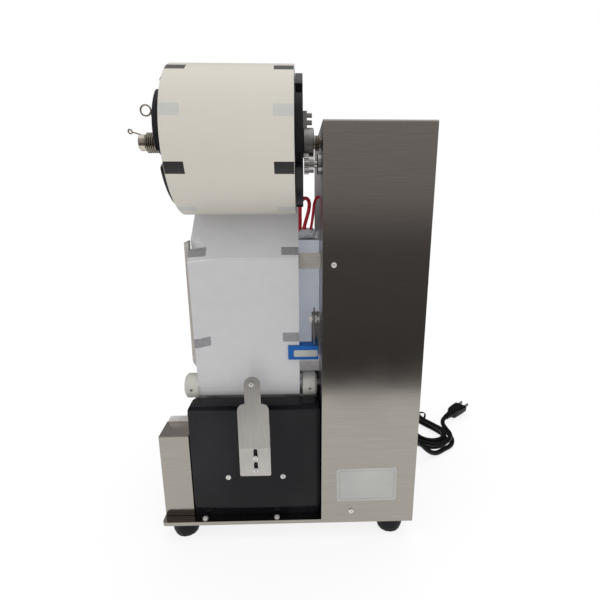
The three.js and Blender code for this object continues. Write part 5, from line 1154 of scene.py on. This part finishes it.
def cord_line():
    """Points of the tail as a curve from the gland, of the hank, and of the lead as an arc to the plug."""
    tail_steps, lead_steps, tail_out, tail_in = 16, 8, 34, 40
    steps = LOOP_STEPS * 3 + LOOP_STEPS // 8
    hank = [hank_point(i) for i in range(steps + 1)]
    first = hank[0] + (hank[0] - hank[1]).normalized() * CORD_D
    last = hank[-1] + (hank[-1] - hank[-2]).normalized() * CORD_D
    into = (hank[0] - first).normalized()
    end = first - into * TOUCH
    start = Vector((RELIEF_X + TOUCH, GLAND_Y, GLAND_Z))
    p1 = start + Vector(RIGHT) * tail_out
    p2 = end - into * tail_in
    tail = []
    for i in range(tail_steps + 1):
        t = i / tail_steps
        s = 1 - t
        tail.append(start * s**3 + p1 * (3 * s * s * t) + p2 * (3 * s * t * t) + end * t**3)
    heading = (last - hank[-1]).normalized()
    begin = last + heading * TOUCH
    angle = atan2(heading.y, heading.x)
    sweep = angle - radians(PLUG_DEGREES)
    centre = begin + Vector((sin(angle), -cos(angle), 0)) * LEAD_R
    lead = []
    for i in range(lead_steps + 1):
        a = angle - sweep * i / lead_steps
        lead.append(Vector((centre.x - LEAD_R * sin(a), centre.y + LEAD_R * cos(a), begin.z)))
    return tail + hank + lead


cord_points = smooth_line(cord_line(), 3)
cord_length = sum((b - a).length for a, b in zip(cord_points, cord_points[1:])) * MM
mains_cord = wire("mains_cord", cord_points, CORD_D / 2, "frame", "cord_rubber", 16)
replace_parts(mains_cord, "cord_tail", "cord_hank", "cord_lead")


# Plug: a ribbed relief, a body with a grip that widens to its face, and two flat blades
def plug_place(x, y, z):
    heading = radians(PLUG_DEGREES)
    along = Vector((cos(heading), sin(heading), 0))
    side = Vector((-sin(heading), cos(heading), 0))
    return cord_points[-1] + along * TOUCH + along * x + side * y + Vector(UP) * z


def power_plug():
    relief_long, relief_thin, relief_thick, rib, relief_steps = 20.5, 4.9, 7.2, 0.35, 24
    body_start, body_end, back_half, face_half, corner_power = 20, 59, 8, 12.6, 0.42
    back_thick, thinned, grip_depth, grip_start, grip_end = 9.5, 3, 0.5, 26, 42
    bm = bmesh.new()
    points = []
    radii = []
    for i in range(relief_steps + 1):
        ribbed = i % 4 in (1, 2) and 2 < i < 22
        points.append(plug_place(relief_long * i / relief_steps, 0, 0))
        widened = relief_thin + (relief_thick - relief_thin) * (i / relief_steps) ** 1.3
        radii.append(widened - (rib if ribbed else 0))
    tube_into(bm, points, radii, 20)
    end_shares = [(19.6, 0.62, 0.66), (20.3, 0.8, 0.84), (22, 0.97, 0.95)]
    end_shares += [(x, 1.0, 1.0) for x in range(25, 56, 3)]
    end_shares += [(57.4, 1.0, 1.0), (58.5, 0.98, 0.97), (59, 0.93, 0.92)]
    rings = []
    for x, wide_share, high_share in end_shares:
        t = share_of(x, body_start, body_end)
        half = back_half + (face_half - back_half) * (2 * t * (1 - t) + t * t)
        grip = grip_depth if grip_start < x < grip_end and int(x) % 6 in (1, 4) else 0
        thick = back_thick - thinned * smoothstep(x, 24, 56)
        ring = []
        for c, s in around(36):
            y = half * wide_share * boxed(c, corner_power)
            z = (thick - grip) * high_share * boxed(s, corner_power)
            ring.append(plug_place(x, y, z))
        rings.append(ring)
    skin_into(bm, rings)
    body = piece("power_plug_body", bm, "cord_rubber", "frame", 40)
    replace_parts(body, "power_plug")
    return body


def plug_blades():
    """Two flat blades, each with a round hole near its end."""
    spacing, half_thick, raised, hole_x, hole_r = 12.7, 0.75, 1.2, 71.5, 1.5
    back, taper, front, half_high, tip_half = 58, 74.6, 76.4, 3.17, 2.2
    outline = [(back, -half_high), (taper, -half_high), (front, -tip_half)]
    outline += [(front + 0.1, tip_half), (taper, half_high), (back, half_high)]
    hole = [(hole_x + hole_r * c, hole_r * s) for c, s in around(16)]
    bm = bmesh.new()
    for middle in (-spacing / 2, spacing / 2):
        layers = []
        for y in (middle - half_thick, middle + half_thick):
            layer = []
            for points in (outline, hole):
                layer.append([bm.verts.new(at(*plug_place(u, y, v + raised))) for u, v in points])
            edges = [bm.edges.new(pair) for ring in layer for pair in zip(ring, ring[1:] + ring[:1])]
            bmesh.ops.triangle_fill(bm, use_beauty=True, use_dissolve=False, edges=edges)
            layers.append(layer)
        for rings in zip(*layers):
            quad_rows(bm, rings)
    return piece("power_plug_blades", bm, "blade_metal", "frame", 25)


def hank_tie():
    """Twist tie round the hank's waist."""
    centre = FRONT_FOLD + ALONG * (RUN / 2)
    half, low, high, half_width, thick = 35, 0.6, 17.4, 2.5, 0.8
    side_power, top_power = 0.35, 0.6
    middle, rise = (low + high) / 2, (high - low) / 2
    section = [(half * boxed(c, side_power), rise * boxed(s, top_power)) for c, s in around(48)]
    rings = []
    for inset, w in ((0, -half_width), (0, half_width), (thick, half_width), (thick, -half_width)):
        ring = []
        for u, v in section:
            lifted = Vector((0, 0, middle + v * (1 - inset / 9)))
            ring.append(centre + ACROSS * (u * (1 - inset / half)) + ALONG * w + lifted)
        rings.append(ring)
    bm = bmesh.new()
    skin_into(bm, rings, looped=True)
    return piece("hank_tie", bm, "black_matte", "frame", 40)


at(RELIEF_X, GLAND_Y, GLAND_Z)
[at(*p) for p in cord_points]
power_plug()
plug_blades()
hank_tie()


# Floor, light and surroundings, whose meshes are in metres
def sheet_object(name, corners, material):
    mesh = bpy.data.meshes.new(name)
    mesh.from_pydata(corners, [], [(0, 1, 2, 3)])
    mesh.materials.append(material)
    return placed(bpy.data.objects.new(name, mesh))


def rays_of(tree, *kinds):
    """Node whose first value is 1 on any of the named kinds of rays."""
    rays = add_node(tree, "LightPath")
    found, out = rays, f"Is {kinds[0]} Ray"
    for kind in kinds[1:]:
        either = add_node(tree, "Math")
        either.operation = "MAXIMUM"
        join(found, out, either, 0)
        join(rays, f"Is {kind} Ray", either, 1)
        found, out = either, 0
    return found


def mix_into(tree, factor, first, second, output):
    """Mixes two shaders by a factor into an output's surface."""
    mix = add_node(tree, "MixShader")
    for source, into in ((factor, "Fac"), (first, 1), (second, 2)):
        join(source, 0, mix, into)
    join(mix, 0, output, "Surface")


def white_floor():
    """Floor that looks nearly white to the camera and in reflections, and keeps its shadow."""
    half_m, white_share, white_strength = 6, 0.8, 1.02
    look = new_material("floor_look", (0.9, 0.9, 0.9), 0.8, 0.0, 0.1)
    tint(look, grain(look, 3), (0.895, 0.895, 0.895), (0.905, 0.905, 0.905))
    tree = look.node_tree
    white = add_node(tree, "Emission", Strength=white_strength)
    seen = add_node(tree, "Math")
    seen.operation = "MULTIPLY"
    seen.inputs[1].default_value = white_share
    join(rays_of(tree, "Camera", "Glossy"), 0, seen, 0)
    mix_into(tree, seen, shader_of(look), white, tree.nodes["Material Output"])
    corners = [(-half_m, -half_m, 0), (half_m, -half_m, 0), (half_m, half_m, 0), (-half_m, half_m, 0)]
    sheet_object("floor", corners, look)


def sun(name, towards, strength, spread_degrees):
    """Broad soft lamp that shines from a direction and leaves no glare on the steel."""
    data = bpy.data.lights.new(name, "SUN")
    data.energy = strength
    data.angle = radians(spread_degrees)
    light = placed(bpy.data.objects.new(name, data))
    light.rotation_euler = Vector(towards).to_track_quat("Z", "Y").to_euler()
    light.visible_glossy = False


def studio_world():
    """White to the camera and in reflections, and softer as a light."""
    soft_strength = 0.64
    world = bpy.data.worlds.new("studio")
    bpy.context.scene.world = world
    world.use_nodes = True
    tree = world.node_tree
    tree.nodes.clear()
    soft = add_node(tree, "Background", Color=(0.98, 0.99, 1, 1), Strength=soft_strength)
    white = add_node(tree, "Background", Color=(1, 1, 1, 1), Strength=1.0)
    seen = rays_of(tree, "Camera", "Glossy", "Transmission")
    mix_into(tree, seen, soft, white, add_node(tree, "OutputWorld"))


def card_look():
    """Glow that is dark near the table and paler higher up; its levels follow the height in metres."""
    look = bpy.data.materials.new("card_look")
    look.use_nodes = True
    tree = look.node_tree
    tree.nodes.clear()
    kinds = ("TexCoord", "SeparateXYZ", "ValToRGB", "Emission", "OutputMaterial")
    coords, split, ramp, glow, out = (add_node(tree, kind) for kind in kinds)
    join(coords, "Object", split, 0)
    join(split, "Z", ramp, "Fac")
    join(ramp, "Color", glow, "Color")
    join(glow, 0, out, "Surface")
    elements = ramp.color_ramp.elements
    elements[0].position, elements[1].position = 0.0, 0.9
    for position, level in ((0.0, 0.11), (0.06, 0.07), (0.2, 0.1), (0.36, 0.12), (0.47, 0.33), (0.9, 0.45)):
        element = next((e for e in elements if abs(e.position - position) < 1e-6), None)
        element = element or elements.new(position)
        element.color = (level, level * 0.94, level * 0.95, 1)
    return look


def studio_cards():
    """Grey cards round the table, seen only in reflections, as the room is in the photograph."""
    away, object_left, height_m = 455, -212, 1.4
    look = card_look()
    low, high = at(object_left - away, -away, 0), at(int(TOWER_W) + away, TOWER_D + away, 0)
    corners = [(low.x, low.y), (high.x, low.y), (high.x, high.y), (low.x, high.y)]
    for i, (a, b) in enumerate(zip(corners, corners[1:] + corners[:1])):
        card = sheet_object(f"card_{i}", [(*a, 0), (*b, 0), (*b, height_m), (*a, height_m)], look)
        card.visible_camera = False
        card.visible_diffuse = False
        card.visible_shadow = False
        card.visible_transmission = False
        card.visible_volume_scatter = False


white_floor()
sun("key_light", (-0.2, -1, 0.38), 1.2, 110)
sun("top_light", (0.1, 0.15, 1), 1.15, 60)
studio_world()
studio_cards()
bpy.context.scene.view_settings.view_transform = "Standard"

bpy.context.view_layer.update()
